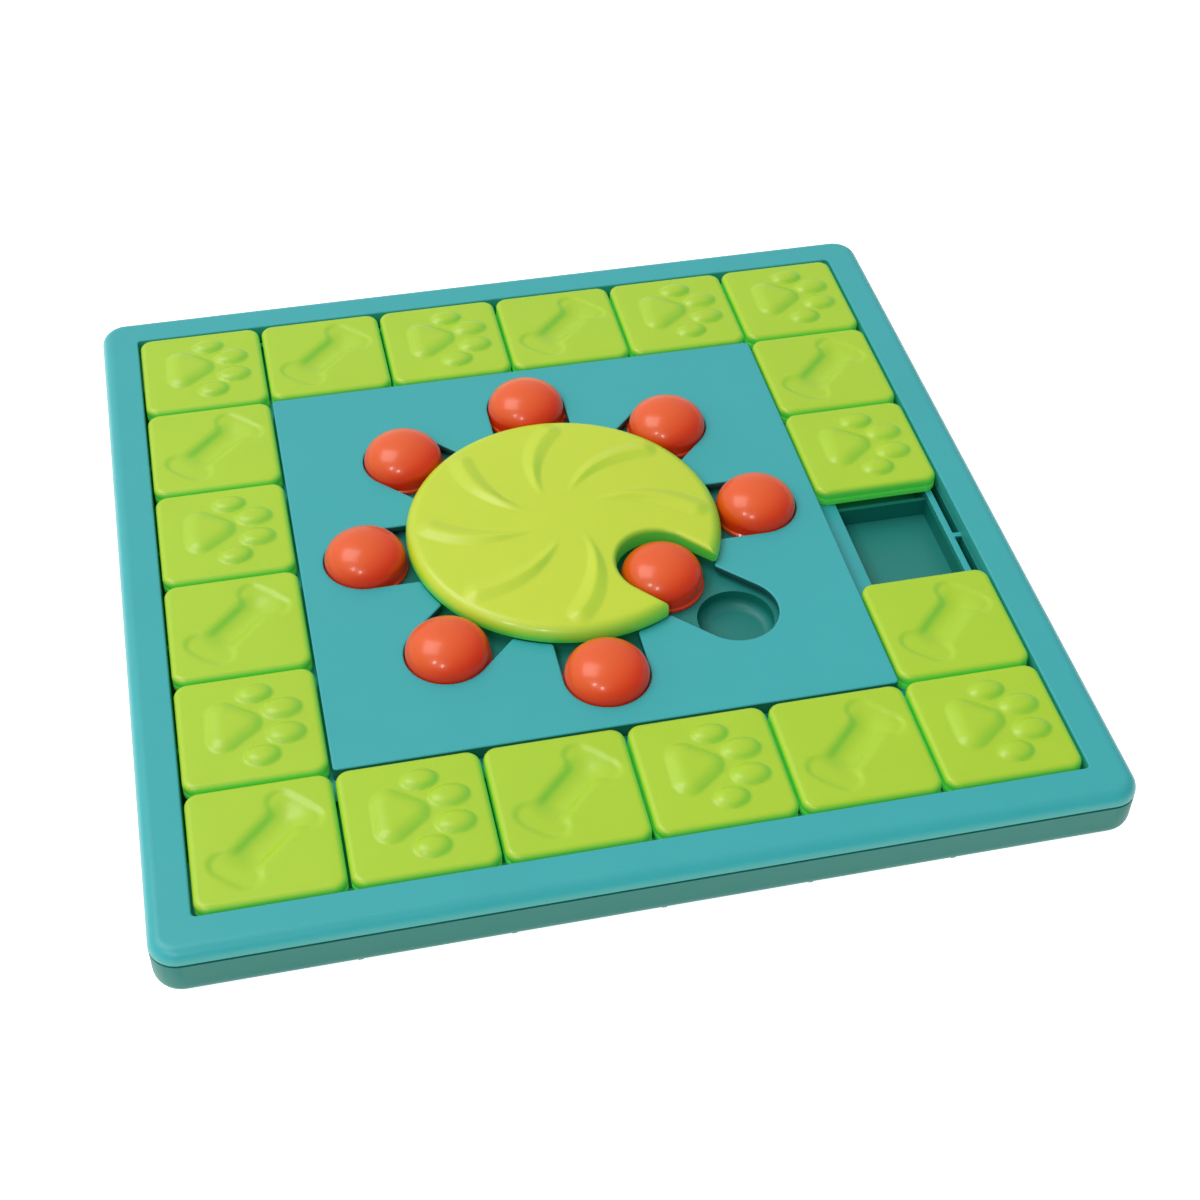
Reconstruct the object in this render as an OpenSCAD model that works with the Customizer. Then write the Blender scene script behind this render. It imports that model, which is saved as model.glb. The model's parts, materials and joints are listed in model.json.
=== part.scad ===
// Sliding-block treat puzzle: a square board with a ring of sliding blocks around a panel
// with a turning disc and eight domed knobs. All sizes are in millimetres, +Z is up and the
// origin is at the middle of the board on the table.

/* [Board] */
// Width of the frame's band round the ring of blocks
frame_band = 17.6; // [16:0.2:22]
// Plan radius of the board's corners
board_corner_r = 12; // [9:0.5:20]
// Height of the playing surface above the table
top_height = 26; // [26:0.5:32]
// Height of the frame's outer side, from the joint line to the playing surface
frame_height = 6; // [5.9:0.1:7]
// Rounding of the frame's upper outer edge
top_edge_r = 5.5; // [3:0.5:5.8]
// Rounding of the base's lower outer edge
bottom_edge_r = 6.5; // [3:0.5:8]
// Wall thickness of the shells
shell_wall = 2.4; // [1.8:0.1:2.8]
// Depth of the shadow groove along the joint line
groove_depth = 0.9; // [0.4:0.1:1.4]
// Height of the shadow groove along the joint line
groove_height = 1; // [0.6:0.1:1.6]

/* [Block ring] */
// Gap between neighbouring block faces
block_gap = 1.2; // [0.9:0.1:1.6]
// Plan radius of a block's corners
block_corner_r = 6; // [3:0.5:8]
// Rounding of a block's upper edge
block_edge_r = 1.6; // [0.8:0.1:2]
// Height of a block above the playing surface
block_rise = 1; // [0.4:0.1:2]
// Depth of the track below the playing surface
track_depth = 7.4; // [7:0.1:8]
// Clearance between the ring of blocks and the walls beside it
side_clearance = 0.4; // [0.3:0.05:0.6]
// Clearance above and below a ledge
ledge_clearance = 0.3; // [0.3:0.05:0.4]
// Thickness of the ledges
ledge_thickness = 1.2; // [1:0.1:1.6]
// Width of the inner ledge
inner_ledge = 10.1; // [9:0.1:11.5]
// Width of the outer ledge
outer_ledge = 6.5; // [6:0.1:8]
// Width of the strip between the compartments and the ledge's slots
ledge_strip = 3; // [2.4:0.1:3.6]
// Width of the ribs between the slots
slot_rib = 2.6; // [2:0.1:4]
// Wall thickness of a block
block_wall = 2; // [1.5:0.1:2.6]
// Depth of the groove around a block
block_groove = 0.9; // [0.5:0.1:1.2]
// Height of the groove around a block
block_groove_height = 1.1; // [0.8:0.1:1.4]
// Depth of the groove's upper edge below the playing surface
block_groove_drop = 3.2; // [2.8:0.1:3.6]
// Clearance between a slider's neck and the inner ledge
neck_clearance = 0.8; // [0.5:0.1:2]
// Gap between neighbouring sliders' plates
slider_gap = 10; // [8:0.5:12]
// Thickness of a slider's plate
slider_plate = 1.4; // [1.2:0.1:1.6]
// Plan radius of the corners of a slider
slider_corner_r = 4; // [2:0.5:6]
// Radius of the pins that join a slider to its block
pin_r = 1.4; // [1:0.1:1.8]
// Wall of the bosses that the pins go into
pin_boss_wall = 1.6; // [1:0.1:2]
// Distance of the pins from the sides of the neck
pin_inset = 4.7; // [4:0.1:6]

/* [Reliefs] */
// Radius of a paw's toes
toe_r = 6.6; // [5.5:0.1:6.8]
// Radius of the three lobes of a paw's pad
pad_r = 8; // [7:0.2:8.6]
// Height of a paw above the block
paw_rise = 1.5; // [0.8:0.1:1.8]
// Depth of a bone in the block
bone_depth = 0.9; // [0.5:0.1:1.1]
// Half of the distance between a bone's knuckles
bone_reach = 19; // [15:0.5:19.5]
// Half width of a bone's shaft
bone_shaft = 6.4; // [4:0.2:7]
// Radius of a bone's knuckles
bone_knuckle = 6.8; // [5:0.2:7]
// Half of the distance between the two knuckles at one end
bone_spread = 8.2; // [6:0.2:8.4]
// Shift of the bone from the block's middle along its own length
bone_shift = 2; // [-2:0.5:2]

/* [Compartments and cups] */
// Height of the compartment floors above the table
floor_height = 6; // [5.5:0.5:7]
// Thickness of the floors and the deck
floor_thickness = 2; // [1.6:0.1:2.2]
// Height of the compartment walls above the floor
cell_wall_height = 9.2; // [6:0.2:9.4]
// Inner radius of a treat cup
cup_r = 17; // [14:0.5:17.4]
// Depth of a treat cup below the deck
cup_depth = 8.5; // [6:0.5:10]
// Radius between a cup's wall and its floor
cup_fillet = 4.5; // [2:0.5:5]
// Height of the base's rim above the table
rim_height = 1; // [0.8:0.1:1.4]
// Thickness of the ribs under the base
rib_thickness = 2; // [1.4:0.1:3]
// Height of the ribs' lower edges above the rim
rib_recess = 0.6; // [0.4:0.1:2]
// Radius of the rubber feet
foot_r = 8; // [6:0.5:9]
// Thickness of the rubber feet
foot_thickness = 2.6; // [2:0.1:3]
// Clearance round a foot in its seat
foot_clearance = 0.1; // [0.05:0.05:0.3]
// Wall of the seats of the feet
foot_wall = 1.6; // [1:0.1:2.4]
// Distance of the feet's middles from the board's outer sides
foot_inset = 26; // [22:1:34]

/* [Panel and knobs] */
// Thickness of the panel
panel_thickness = 3.2; // [2.6:0.1:3.4]
// Plan radius of the panel's corners
panel_corner_r = 1.5; // [0.5:0.5:4]
// Clearance between the panel's skirt and the deck
skirt_clearance = 0.3; // [0.2:0.05:0.5]
// How far the disc covers the edge of the well in the panel
well_cover = 0.6; // [0.4:0.1:1]
// Number of knobs
knob_count = 8; // [8]
// Radius of a knob's dome at the playing surface
knob_r = 18.2; // [16.5:0.1:18.4]
// Height of a knob above the playing surface
knob_rise = 12; // [10:0.2:13]
// Wall thickness of a knob
knob_wall = 2; // [1.6:0.1:2.6]
// Width of the brim round a knob
brim = 0.7; // [0.5:0.05:0.8]
// Thickness of the brim
brim_thickness = 1.8; // [1.4:0.1:1.9]
// Length of a knob's ears beyond its neck
ear = 3.8; // [2.5:0.1:4.5]
// Width of a knob's ears
ear_width = 12; // [8:0.5:14]
// Clearance between a knob and its slot
slot_clearance = 0.45; // [0.35:0.05:0.6]
// Depth of the channels below the playing surface
channel_depth = 5.7; // [5.5:0.1:5.8]
// Gap between the disc and a knob that is pushed out
knob_gap = 0.8; // [0.8:0.1:1.6]
// Gap between the well's edge and the neck of the knob that is pushed in
well_clearance = 0.4; // [0.3:0.05:1]
// Width of the panel's margin beyond the slots
panel_margin = 10.75; // [9:0.25:16]

/* [Disc] */
// Radius of the disc
disc_r = 71.2; // [68:0.2:78]
// Height of the disc's middle above the playing surface
disc_rise = 10.6; // [9.5:0.1:11]
// Height of the disc's edge above the playing surface
disc_edge_rise = 7.6; // [6.5:0.1:8]
// Clearance between the disc and the panel
disc_clearance = 0.8; // [0.5:0.1:1]
// Rounding of the disc's upper edge
disc_edge_r = 4; // [2:0.25:5]
// Wall thickness of the disc
disc_wall = 2.4; // [2:0.1:2.8]
// Clearance between the notch and the knob in it
notch_clearance = 1.4; // [0.8:0.1:2]
// Rounding of the notch's outer corners
notch_corner_r = 3; // [2:0.5:7]
// Number of ridges round the disc, the notch takes the place of one
ridge_count = 8; // [6:1:9]
// Radius of the arc that a ridge follows
ridge_arc = 49; // [46:1:70]
// Distance of a ridge's inner end from the middle
ridge_from = 15; // [12:1:20]
// Half width of a ridge at its base
ridge_r = 6; // [3:0.25:7]
// Height of a ridge's crown above the disc's face at its outer end
ridge_rise = 1.4; // [1:0.1:2]
// Height of a ridge's crown above the disc's face at its inner end
ridge_start_rise = 0.6; // [0.4:0.1:1]
// Angle that a ridge sweeps along its arc
ridge_sweep = 60; // [50:1:66]
// Clockwise tilt of a ridge at its inner end
ridge_tilt = 8; // [0:1:12]
// Direction of the first ridge's inner end
ridge_phase = 116; // [100:1:120]
// Radius of the disc's hub
hub_r = 24; // [18:0.5:26]
// Radius of the disc's journal in the deck
journal_r = 8; // [6:0.25:10]
// Running clearance of the journal in the deck
journal_clearance = 0.1; // [0.05:0.05:0.1]
// Radius of the washer under the deck
washer_r = 13; // [12:0.5:16]
// Thickness of the washer
washer_thickness = 1.6; // [1:0.1:2]

/* [Screws] */
// Radius of a case screw's shank
screw_r = 1.4; // [1.2:0.1:1.6]
// Radius of a case screw's head
screw_head_r = 2.8; // [2.4:0.1:3]
// Height of a case screw's head
screw_head = 1.7; // [1.4:0.1:1.8]
// Clearance round a screw's shank
screw_clearance = 0.1; // [0.05:0.05:0.15]
// Clearance round a screw's head
head_clearance = 0.4; // [0.2:0.1:0.6]
// Wall of the bosses that the screws go into
boss_wall = 2.2; // [1.6:0.1:2.4]
// Distance of the bosses from the walls beside them
boss_inset = 5.2; // [5:0.1:6]
// Distance of the inner panel screws from the middle line
panel_screw_near = 44; // [40:1:48]
// Gap between a screw's tip and the end of its hole
thread_gap = 0.3; // [0.2:0.1:0.5]
// Radius of the pivot screw's shank
pivot_screw_r = 2; // [1.6:0.1:2.5]
// Depth of the pivot screw in the disc above its hub
pivot_depth = 2; // [1:0.1:2.4]

/* [Hidden] */
$fn = 96;
eps = 0.5;                                   // overlap that keeps cuts and joins clean
seam = 0.01;                                 // overlap of two shapes whose faces would only touch
knob_step = 360 / knob_count;
notch_angle = -knob_step;                    // direction of the notch and of the eighth knob
slot_r = knob_r + slot_clearance;
knob_out = disc_r + knob_gap + knob_r;       // distance from the middle of a knob that is pushed out
panel_half = knob_out + slot_r + panel_margin;
ring_inner = panel_half + side_clearance;    // half width of the square inside the ring
pitch = ring_inner / 2;                      // the ring holds four blocks along its inner square
ring_half = ring_inner + pitch;              // half width of the ring of blocks, without clearance
frame_inner = ring_half + side_clearance;    // half width of the frame's opening
half_board = frame_inner + frame_band;
board_size = 2 * half_board;
parting_height = top_height - frame_height;
ledge_top = top_height - track_depth;
ledge_bottom = ledge_top - ledge_thickness;
inner_ledge_edge = panel_half + inner_ledge;
outer_ledge_edge = frame_inner - outer_ledge;
block_size = pitch - block_gap;
block_bottom = ledge_top + ledge_clearance;
block_top = top_height + block_rise;
block_mid = top_height - block_groove_drop;  // top of the groove round a block
slider_top = ledge_bottom - ledge_clearance;
slider_bottom = slider_top - slider_plate;
slider_width = pitch - slider_gap;
neck_width = 2 * (2.5 * pitch - inner_ledge_edge - neck_clearance);
cell_wall_top = min(floor_height + cell_wall_height, slider_bottom - ledge_clearance);
panel_bottom = top_height - panel_thickness;
deck_top = top_height - channel_depth;
deck_bottom = deck_top - floor_thickness;
cup_floor = deck_top - cup_depth;
deck_half = panel_half - shell_wall - skirt_clearance;  // half width of the deck inside the skirt
knob_bottom = deck_top + ledge_clearance;
brim_r = knob_r + brim;
ear_reach = knob_r + ear;
well_r = disc_r - well_cover;                // opening of the panel under the disc
knob_in = well_r - well_clearance - knob_r;   // distance from the middle of the knob that is pushed in
notch_r = knob_r + notch_clearance;
notch_centre = knob_in - notch_clearance;
disc_bottom = top_height + disc_clearance;
dome_r = (knob_r * knob_r + knob_rise * knob_rise) / (2 * knob_rise);
edge_hollow = top_edge_r - shell_wall;       // radius left inside the frame's rounded edge
boss_r = screw_r + screw_clearance + boss_wall;
screw_x = half_board - shell_wall - boss_r - boss_inset;
panel_screw_far = panel_half - shell_wall - boss_r - boss_inset;
pin_place = neck_width / 2 - pin_inset;
washer_top = deck_bottom - ledge_clearance;
foot_place = half_board - foot_inset;
frame_screw_places = [for (side = [0:3], s = [-2, 0, 2]) [side, s * pitch]];

// The places of the ring in clockwise order from the back left corner; place 9 stays empty.
paw_places = [1, 3, 5, 6, 8, 11, 13, 15, 17, 19];
bone_places = [2, 4, 7, 10, 12, 14, 16, 18, 20];
block_places = concat(paw_places, bone_places);
knob_numbers = [for (k = [1:knob_count]) k];

function two_digits(n) = str(n < 10 ? "0" : "", n);
function cap_name(place) = str("tile_cap_", two_digits(place));
function slider_name(place) = str("tile_slider_", two_digits(place));
function knob_name(k) = str("knob_", k);
// Column and row of a place, counted from the front left
function ring_cell(place) =
    place <= 6 ? [place - 1, 5] :
    place <= 11 ? [5, 11 - place] :
    place <= 16 ? [16 - place, 0] : [0, place - 16];
function cell_centre(cell) = [(cell[0] - 2.5) * pitch, (cell[1] - 2.5) * pitch];
function cell_origin(place) = cell_centre(ring_cell(place));
function knob_angle(k) = (k - 1) * knob_step;
function knob_distance(k) = k == knob_count ? knob_in : knob_out;

teal = [0.27, 0.66, 0.67];
deep_teal = [0.22, 0.58, 0.60];
lime = [0.68, 0.84, 0.24];
disc_lime = [0.78, 0.86, 0.24];
orange = [0.93, 0.36, 0.18];
metal = [0.72, 0.73, 0.75];
black = [0.10, 0.10, 0.11];

// Square plate with vertical edges of the given plan radius
module square_plate(size, z0, z1, corner_r) {
    translate([0, 0, z0]) linear_extrude(z1 - z0) rounded_square(size, corner_r);
}

module rounded_square(size, corner_r) {
    straight = size - 2 * corner_r;
    square([size, straight], center = true);
    square([straight, size], center = true);
    for (x = [-1, 1], y = [-1, 1]) translate([x, y] * straight / 2) circle(corner_r);
}

// Band of a square plate's rounded upper edge: a fillet of radius r under the height z1
module edge_round(size, z1, corner_r, r) {
    straight = size - 2 * corner_r;
    for (side = [0:3]) rotate(90 * side) {
        translate([size / 2 - r, 0, z1 - r]) rotate([90, 0, 0])
            linear_extrude(straight, center = true) quarter_disc(r);
        translate([straight / 2, straight / 2, z1 - r]) rotate_extrude(angle = 90)
            translate([corner_r - r, 0]) quarter_disc(r);
    }
}

module quarter_disc(r) {
    intersection() {
        circle(r);
        square(r + 1);
    }
}

// Square plate with a rounded upper edge
module soft_plate(size, z0, z1, corner_r, r) {
    square_plate(size, z0, z1 - r, corner_r);
    square_plate(size - 2 * r, z1 - r - seam, z1, corner_r - r);
    edge_round(size, z1, corner_r, r);
}

// Repeats a side of the board at all four sides
module four_sides() {
    for (side = [0:3]) rotate(90 * side) children();
}

module at_knobs(distance) {
    for (k = knob_numbers) rotate(knob_angle(k)) translate([distance, 0, 0]) children();
}

module at_frame_screws() {
    for (place = frame_screw_places) rotate(90 * place[0]) translate([screw_x, place[1], 0]) children();
}

module at_panel_screws() {
    for (x = [-1, 1], y = [-1, 1]) translate([x * panel_screw_far, y * panel_screw_far, 0]) children();
    for (y = [-1, 1], x = [-1, 1]) translate([x * panel_screw_near, y * panel_screw_far, 0]) children();
}

module base_outside() {
    mirror([0, 0, 1]) soft_plate(board_size, -(parting_height - groove_height), -rim_height,
        board_corner_r, bottom_edge_r);
    square_plate(board_size - 2 * groove_depth, parting_height - groove_height - seam, parting_height,
        board_corner_r - groove_depth);
}

// Square wall of the given half width to its outer face
module square_wall(half, wall, z0, z1) {
    translate([0, 0, z0]) linear_extrude(z1 - z0) difference() {
        square(2 * half, center = true);
        square(2 * (half - wall), center = true);
    }
}

// Four straight walls that stand on the base's floor, of the given half width to their outer faces
module floor_walls(half, wall, z1) four_sides()
    translate([half - wall, wall + seam - half, floor_height])
        cube([wall, 2 * half - wall - seam, z1 - floor_height]);

// Walls of the compartments and the wall that the frame stands on
module base_walls() color(deep_teal) {
    wall = floor_thickness;
    floor_walls(inner_ledge_edge, wall, cell_wall_top);
    floor_walls(outer_ledge_edge + wall, wall, cell_wall_top);
    floor_walls(frame_inner + shell_wall, shell_wall, ledge_bottom);
    four_sides() for (y = [-2:2])
        translate([inner_ledge_edge + seam, y * pitch - wall / 2, floor_height])
            cube([outer_ledge_edge - inner_ledge_edge - 2 * seam, wall, cell_wall_top - floor_height]);
}

// Deck below the panel, with the walls that it stands on and the ribs under it
module base_deck() color(deep_teal) difference() {
    union() {
        square_wall(deck_half, shell_wall, floor_height, deck_top);
        translate([0, 0, deck_bottom]) linear_extrude(floor_thickness) square(2 * deck_half, center = true);
        square_wall(panel_half, panel_half - deck_half + eps, floor_height, ledge_bottom);
        difference() {
            underside_ribs(2 * deck_half - shell_wall, 1, deck_bottom + floor_thickness / 2);
            square_wall(deck_half, shell_wall, 0, floor_height);
            at_panel_screws() cylinder(r = screw_head_r + rib_thickness, h = top_height);
            cylinder(r = washer_r + rib_thickness, h = top_height);
            at_knobs(knob_out) translate([0, 0, cup_floor - floor_thickness])
                cylinder(r = cup_r + floor_thickness, h = deck_bottom - cup_floor + floor_thickness);
        }
    }
    at_knobs(knob_out) translate([0, 0, deck_bottom - eps])
        cylinder(r = cup_r, h = floor_thickness + 2 * eps);
    translate([0, 0, deck_bottom - eps])
        cylinder(r = journal_r + journal_clearance, h = floor_thickness + 2 * eps);
    at_panel_screws() translate([0, 0, deck_bottom - eps])
        cylinder(r = screw_r + screw_clearance, h = floor_thickness + 2 * eps);
}

// Treat cups under the holes in the deck
module base_cups() color(deep_teal) at_knobs(knob_out) difference() {
    translate([0, 0, cup_floor - floor_thickness])
        cylinder(r = cup_r + floor_thickness, h = deck_bottom - cup_floor + floor_thickness);
    cup_hollow();
}

// Hollow of a treat cup, rounded between wall and floor
module cup_hollow() {
    translate([0, 0, cup_floor + cup_fillet]) {
        cylinder(r = cup_r, h = deck_top - cup_floor - cup_fillet + eps);
        rotate_extrude() mirror([0, 1]) {
            square([cup_r - cup_fillet, cup_fillet]);
            translate([cup_r - cup_fillet, 0]) quarter_disc(cup_fillet);
        }
    }
}

// Bar of an underside rib along X, centred, from the ribs' lower edge up to the height z1
module rib(length, y, z1) {
    z0 = rim_height + rib_recess;
    translate([-length / 2, y - rib_thickness / 2, z0]) cube([length, rib_thickness, z1 - z0]);
}

// Crossing ribs a block apart, up to the given number from the middle
module underside_ribs(length, most, z1) {
    for (turn = [0, 90], n = [-most:most]) rotate(turn) rib(length, n * pitch, z1);
}

module base_shell() color(deep_teal) difference() {
    union() {
        difference() {
            base_outside();
            square_plate(board_size - 2 * shell_wall, floor_height, parting_height + eps,
                board_corner_r - shell_wall);
            square_plate(board_size - 2 * bottom_edge_r, 0, floor_height - floor_thickness,
                board_corner_r - shell_wall);
        }
        underside_ribs(board_size - 2 * shell_wall, 2, floor_height - floor_thickness / 2);
        at_frame_screws() cylinder(r = boss_r, h = parting_height);
        for (x = [-1, 1], y = [-1, 1]) translate([x * foot_place, y * foot_place, rim_height])
            cylinder(r = foot_r + foot_wall, h = floor_height - rim_height - eps);
    }
    translate([0, 0, -eps]) linear_extrude(parting_height)
        square(2 * (deck_half - shell_wall), center = true);
    at_frame_screws() translate([0, 0, -eps]) {
        cylinder(r = screw_r + screw_clearance, h = parting_height + 2 * eps);
        cylinder(r = screw_head_r + head_clearance, h = floor_height - floor_thickness + eps);
    }
    for (x = [-1, 1], y = [-1, 1]) translate([x * foot_place, y * foot_place, -eps])
        cylinder(r = foot_r + foot_clearance, h = foot_thickness + eps);
    translate([0, 0, -eps]) linear_extrude(rim_height + eps) square(2 * board_size, center = true);
}

module outer_frame() color(teal) {
    slot_from = -2.5 * pitch + slot_rib / 2;
    difference() {
        soft_plate(board_size, parting_height, top_height, board_corner_r, top_edge_r);
        square_plate(board_size - 2 * shell_wall, parting_height - eps, top_height - top_edge_r,
            board_corner_r - shell_wall);
        square_plate(board_size - 2 * shell_wall - edge_hollow, parting_height, top_height - shell_wall,
            board_corner_r - shell_wall - edge_hollow / 2);
        translate([0, 0, parting_height - eps]) linear_extrude(parting_height)
            square(2 * (frame_inner + seam), center = true);
    }
    square_wall(frame_inner + shell_wall, shell_wall, ledge_bottom, top_height - shell_wall / 2);
    square_wall(frame_inner + eps, eps, ledge_bottom, top_height);
    difference() {
        square_wall(frame_inner + eps, outer_ledge + eps, ledge_bottom, ledge_top);
        four_sides() for (n = [0:4])
            translate([outer_ledge_edge + ledge_strip, slot_from + n * pitch, ledge_bottom - eps])
                cube([outer_ledge - ledge_strip, pitch - slot_rib, ledge_thickness + 2 * eps]);
    }
    at_frame_screws() translate([0, 0, parting_height]) difference() {
        cylinder(r = boss_r, h = top_height - parting_height - shell_wall / 2);
        translate([0, 0, -eps]) cylinder(r = screw_r + screw_clearance,
            h = top_height - parting_height - shell_wall + eps);
    }
}

// Outline of the panel's opening: the well under the disc and the radial slots
module panel_opening() {
    circle(well_r);
    for (k = knob_numbers) rotate(knob_angle(k)) {
        translate([0, -slot_r]) square([knob_out, 2 * slot_r]);
        translate([knob_out, 0]) circle(slot_r);
    }
}

module centre_panel() color(teal) {
    difference() {
        square_plate(2 * panel_half, panel_bottom, top_height, panel_corner_r);
        translate([0, 0, panel_bottom - eps]) linear_extrude(panel_thickness + 2 * eps) panel_opening();
    }
    square_wall(panel_half, shell_wall, ledge_bottom, panel_bottom + seam);
    square_wall(inner_ledge_edge, inner_ledge + seam, ledge_bottom, ledge_top);
    at_panel_screws() translate([0, 0, deck_top]) difference() {
        cylinder(r = boss_r, h = panel_bottom - deck_top + seam);
        translate([0, 0, -eps])
            cylinder(r = screw_r + screw_clearance, h = panel_bottom - deck_top + 2 * eps);
    }
}

// Section of the disc from its middle to its rim
module disc_section(shrink) {
    edge_top = top_height + disc_edge_rise - shrink;
    rim = disc_r - shrink;
    round_r = disc_edge_r - shrink / 2;
    crown_r = (disc_r * disc_r) / (2 * (disc_rise - disc_edge_rise)) ;
    bottom = disc_bottom - (shrink > 0 ? eps : 0);
    intersection() {
        union() {
            translate([0, bottom]) square([rim, edge_top - round_r - bottom]);
            translate([0, bottom]) square([rim - round_r, 2 * disc_rise]);
            translate([rim - round_r, edge_top - round_r]) circle(round_r);
        }
        translate([0, top_height + disc_rise - shrink - crown_r]) circle(crown_r, $fn = 720);
        translate([0, bottom]) square(2 * disc_r);
    }
}

// Outline of the notch, widened by the given amount, with rounded outer corners
module notch_outline(widen) {
    w = notch_r + widen;
    corner = notch_corner_r - widen / 2;
    mouth = sqrt(pow(disc_r - corner, 2) - pow(w + corner, 2));
    rotate(notch_angle) {
        translate([notch_centre, 0]) circle(w);
        translate([notch_centre, -w]) square([disc_r, 2 * w]);
        difference() {
            translate([mouth, -w - corner]) square([disc_r, 2 * (w + corner)]);
            for (s = [-1, 1]) translate([mouth, s * (w + corner)]) circle(corner);
        }
    }
}

// Height of the disc's face at a distance from its middle
function disc_face(r) = top_height + disc_rise - (disc_rise - disc_edge_rise) * pow(r / disc_r, 2);

// One raised ridge: the crown of a torus that dips with the disc's face, along an arc that bends
// clockwise, with round ends
module ridge() {
    crown_r = (ridge_r * ridge_r + ridge_rise * ridge_rise) / (2 * ridge_rise);
    chord = 2 * ridge_arc * sin(ridge_sweep / 2);
    end = [ridge_from + chord * cos(ridge_tilt + ridge_sweep / 2), chord * sin(ridge_tilt + ridge_sweep / 2)];
    crown_z = disc_face(ridge_from) + ridge_start_rise;
    dip = atan((crown_z - disc_face(norm(end)) - ridge_rise) / (end.x - ridge_from));
    translate([ridge_from, 0, crown_z]) rotate([0, dip, 0]) translate([0, 0, -crown_r])
        rotate(90 - ridge_tilt) translate([-ridge_arc, 0]) rotate(-ridge_sweep) {
            rotate_extrude(angle = ridge_sweep) translate([ridge_arc, 0]) ridge_section(crown_r);
            translate([ridge_arc, 0]) rotate_extrude() intersection() {
                ridge_section(crown_r);
                square(2 * crown_r);
            }
        }
}

module ridge_section(crown_r) {
    intersection() {
        circle(crown_r);
        translate([-ridge_r, crown_r - ridge_rise - disc_wall / 2]) square(2 * ridge_r);
    }
}

// All ridges up to the disc's rounded edge, without the one in the notch
module ridges() intersection() {
    for (n = [0:ridge_count - 1]) {
        direction = ridge_phase + n * 360 / ridge_count;
        away = (direction - ridge_tilt / 2 - ridge_sweep / 6 - notch_angle + 540) % 360 - 180;
        if (abs(away) > 180 / ridge_count) rotate(direction) ridge();
    }
    cylinder(r = disc_r - disc_edge_r, h = 2 * top_height);
}

module disc() color(disc_lime) {
    difference() {
        union() {
            rotate_extrude() disc_section(0);
            ridges();
        }
        difference() {
            rotate_extrude() disc_section(disc_wall);
            translate([0, 0, top_height]) linear_extrude(2 * disc_rise) notch_outline(disc_wall);
            cylinder(r = hub_r, h = 2 * top_height);
        }
        translate([0, 0, top_height]) linear_extrude(2 * disc_rise) notch_outline(0);
        cylinder(r = pivot_screw_r + screw_clearance, h = disc_bottom + pivot_depth + thread_gap);
    }
    difference() {
        union() {
            translate([0, 0, knob_bottom]) cylinder(r = hub_r, h = disc_bottom - knob_bottom + seam);
            translate([0, 0, washer_top]) cylinder(r = journal_r, h = knob_bottom - washer_top + seam);
        }
        translate([0, 0, washer_top - eps])
            cylinder(r = pivot_screw_r + screw_clearance, h = disc_bottom);
    }
}

module disc_washer() color(metal) translate([0, 0, washer_top - washer_thickness]) difference() {
    cylinder(r = washer_r, h = washer_thickness);
    translate([0, 0, -eps]) cylinder(r = pivot_screw_r + screw_clearance, h = washer_thickness + 2 * eps);
}

// Pan-head screw that points up, with a hexagonal drive and the face under its head at z = 0
module screw(shank_r, head_r, head, shank) {
    drive_r = head_r * 0.45;
    drive_depth = head * 0.6;
    difference() {
        union() {
            translate([0, 0, -head]) cylinder(r = head_r, h = head);
            cylinder(r = shank_r, h = shank);
        }
        translate([0, 0, -head - eps]) cylinder(r = drive_r, h = drive_depth + eps, $fn = 6);
    }
}

module disc_screw() color(metal) translate([0, 0, washer_top - washer_thickness])
    screw(pivot_screw_r, 2 * pivot_screw_r, screw_head,
        disc_bottom + pivot_depth - washer_top + washer_thickness);

module frame_screws() color(metal) at_frame_screws() translate([0, 0, floor_height - floor_thickness])
    screw(screw_r, screw_head_r, screw_head,
        top_height - shell_wall - thread_gap - floor_height + floor_thickness);

module panel_screws() color(metal) at_panel_screws() translate([0, 0, deck_bottom])
    screw(screw_r, screw_head_r, screw_head, panel_bottom - deck_bottom);

module rubber_feet() color(black) for (x = [-1, 1], y = [-1, 1])
    translate([x * foot_place, y * foot_place, 0]) cylinder(r = foot_r, h = foot_thickness);

// Dome of a knob with its straight neck, its brim and two ears that run under the slot's lips
module knob_outside() {
    translate([0, 0, knob_bottom]) {
        cylinder(r = brim_r, h = brim_thickness);
        intersection() {
            cylinder(r = ear_reach, h = brim_thickness);
            translate([-ear_width / 2, -ear_reach, 0]) cube([ear_width, 2 * ear_reach, brim_thickness]);
        }
        cylinder(r = knob_r, h = top_height - knob_bottom);
    }
    intersection() {
        translate([0, 0, top_height + knob_rise - dome_r]) sphere(dome_r);
        translate([0, 0, top_height - seam]) cylinder(r = knob_r, h = 2 * knob_rise);
    }
}

module knob_inside() {
    inner_r = knob_r - knob_wall;
    translate([0, 0, knob_bottom - eps]) cylinder(r = inner_r, h = top_height - knob_bottom + eps);
    intersection() {
        translate([0, 0, top_height + knob_rise - dome_r]) sphere(dome_r - knob_wall);
        translate([0, 0, top_height - 0.02]) cylinder(r = inner_r, h = 2 * knob_rise);
    }
}

module knob(k) color(orange) rotate(knob_angle(k)) translate([knob_distance(k), 0, 0]) difference() {
    knob_outside();
    knob_inside();
}

// Domes of a paw that points along +X: four toes round a pad of three lobes, placed by shares of the block
module paw_relief() {
    toes = [[0.06, 0.3], [0.24, 0.125], [0.245, -0.11], [0.065, -0.285]];
    lobes = [[-0.16, 0.12], [-0.16, -0.095], [-0.05, 0.025]];
    for (p = toes) translate(p * block_size) dome(toe_r);
    for (p = lobes) translate(p * block_size) dome(pad_r);
}

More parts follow.
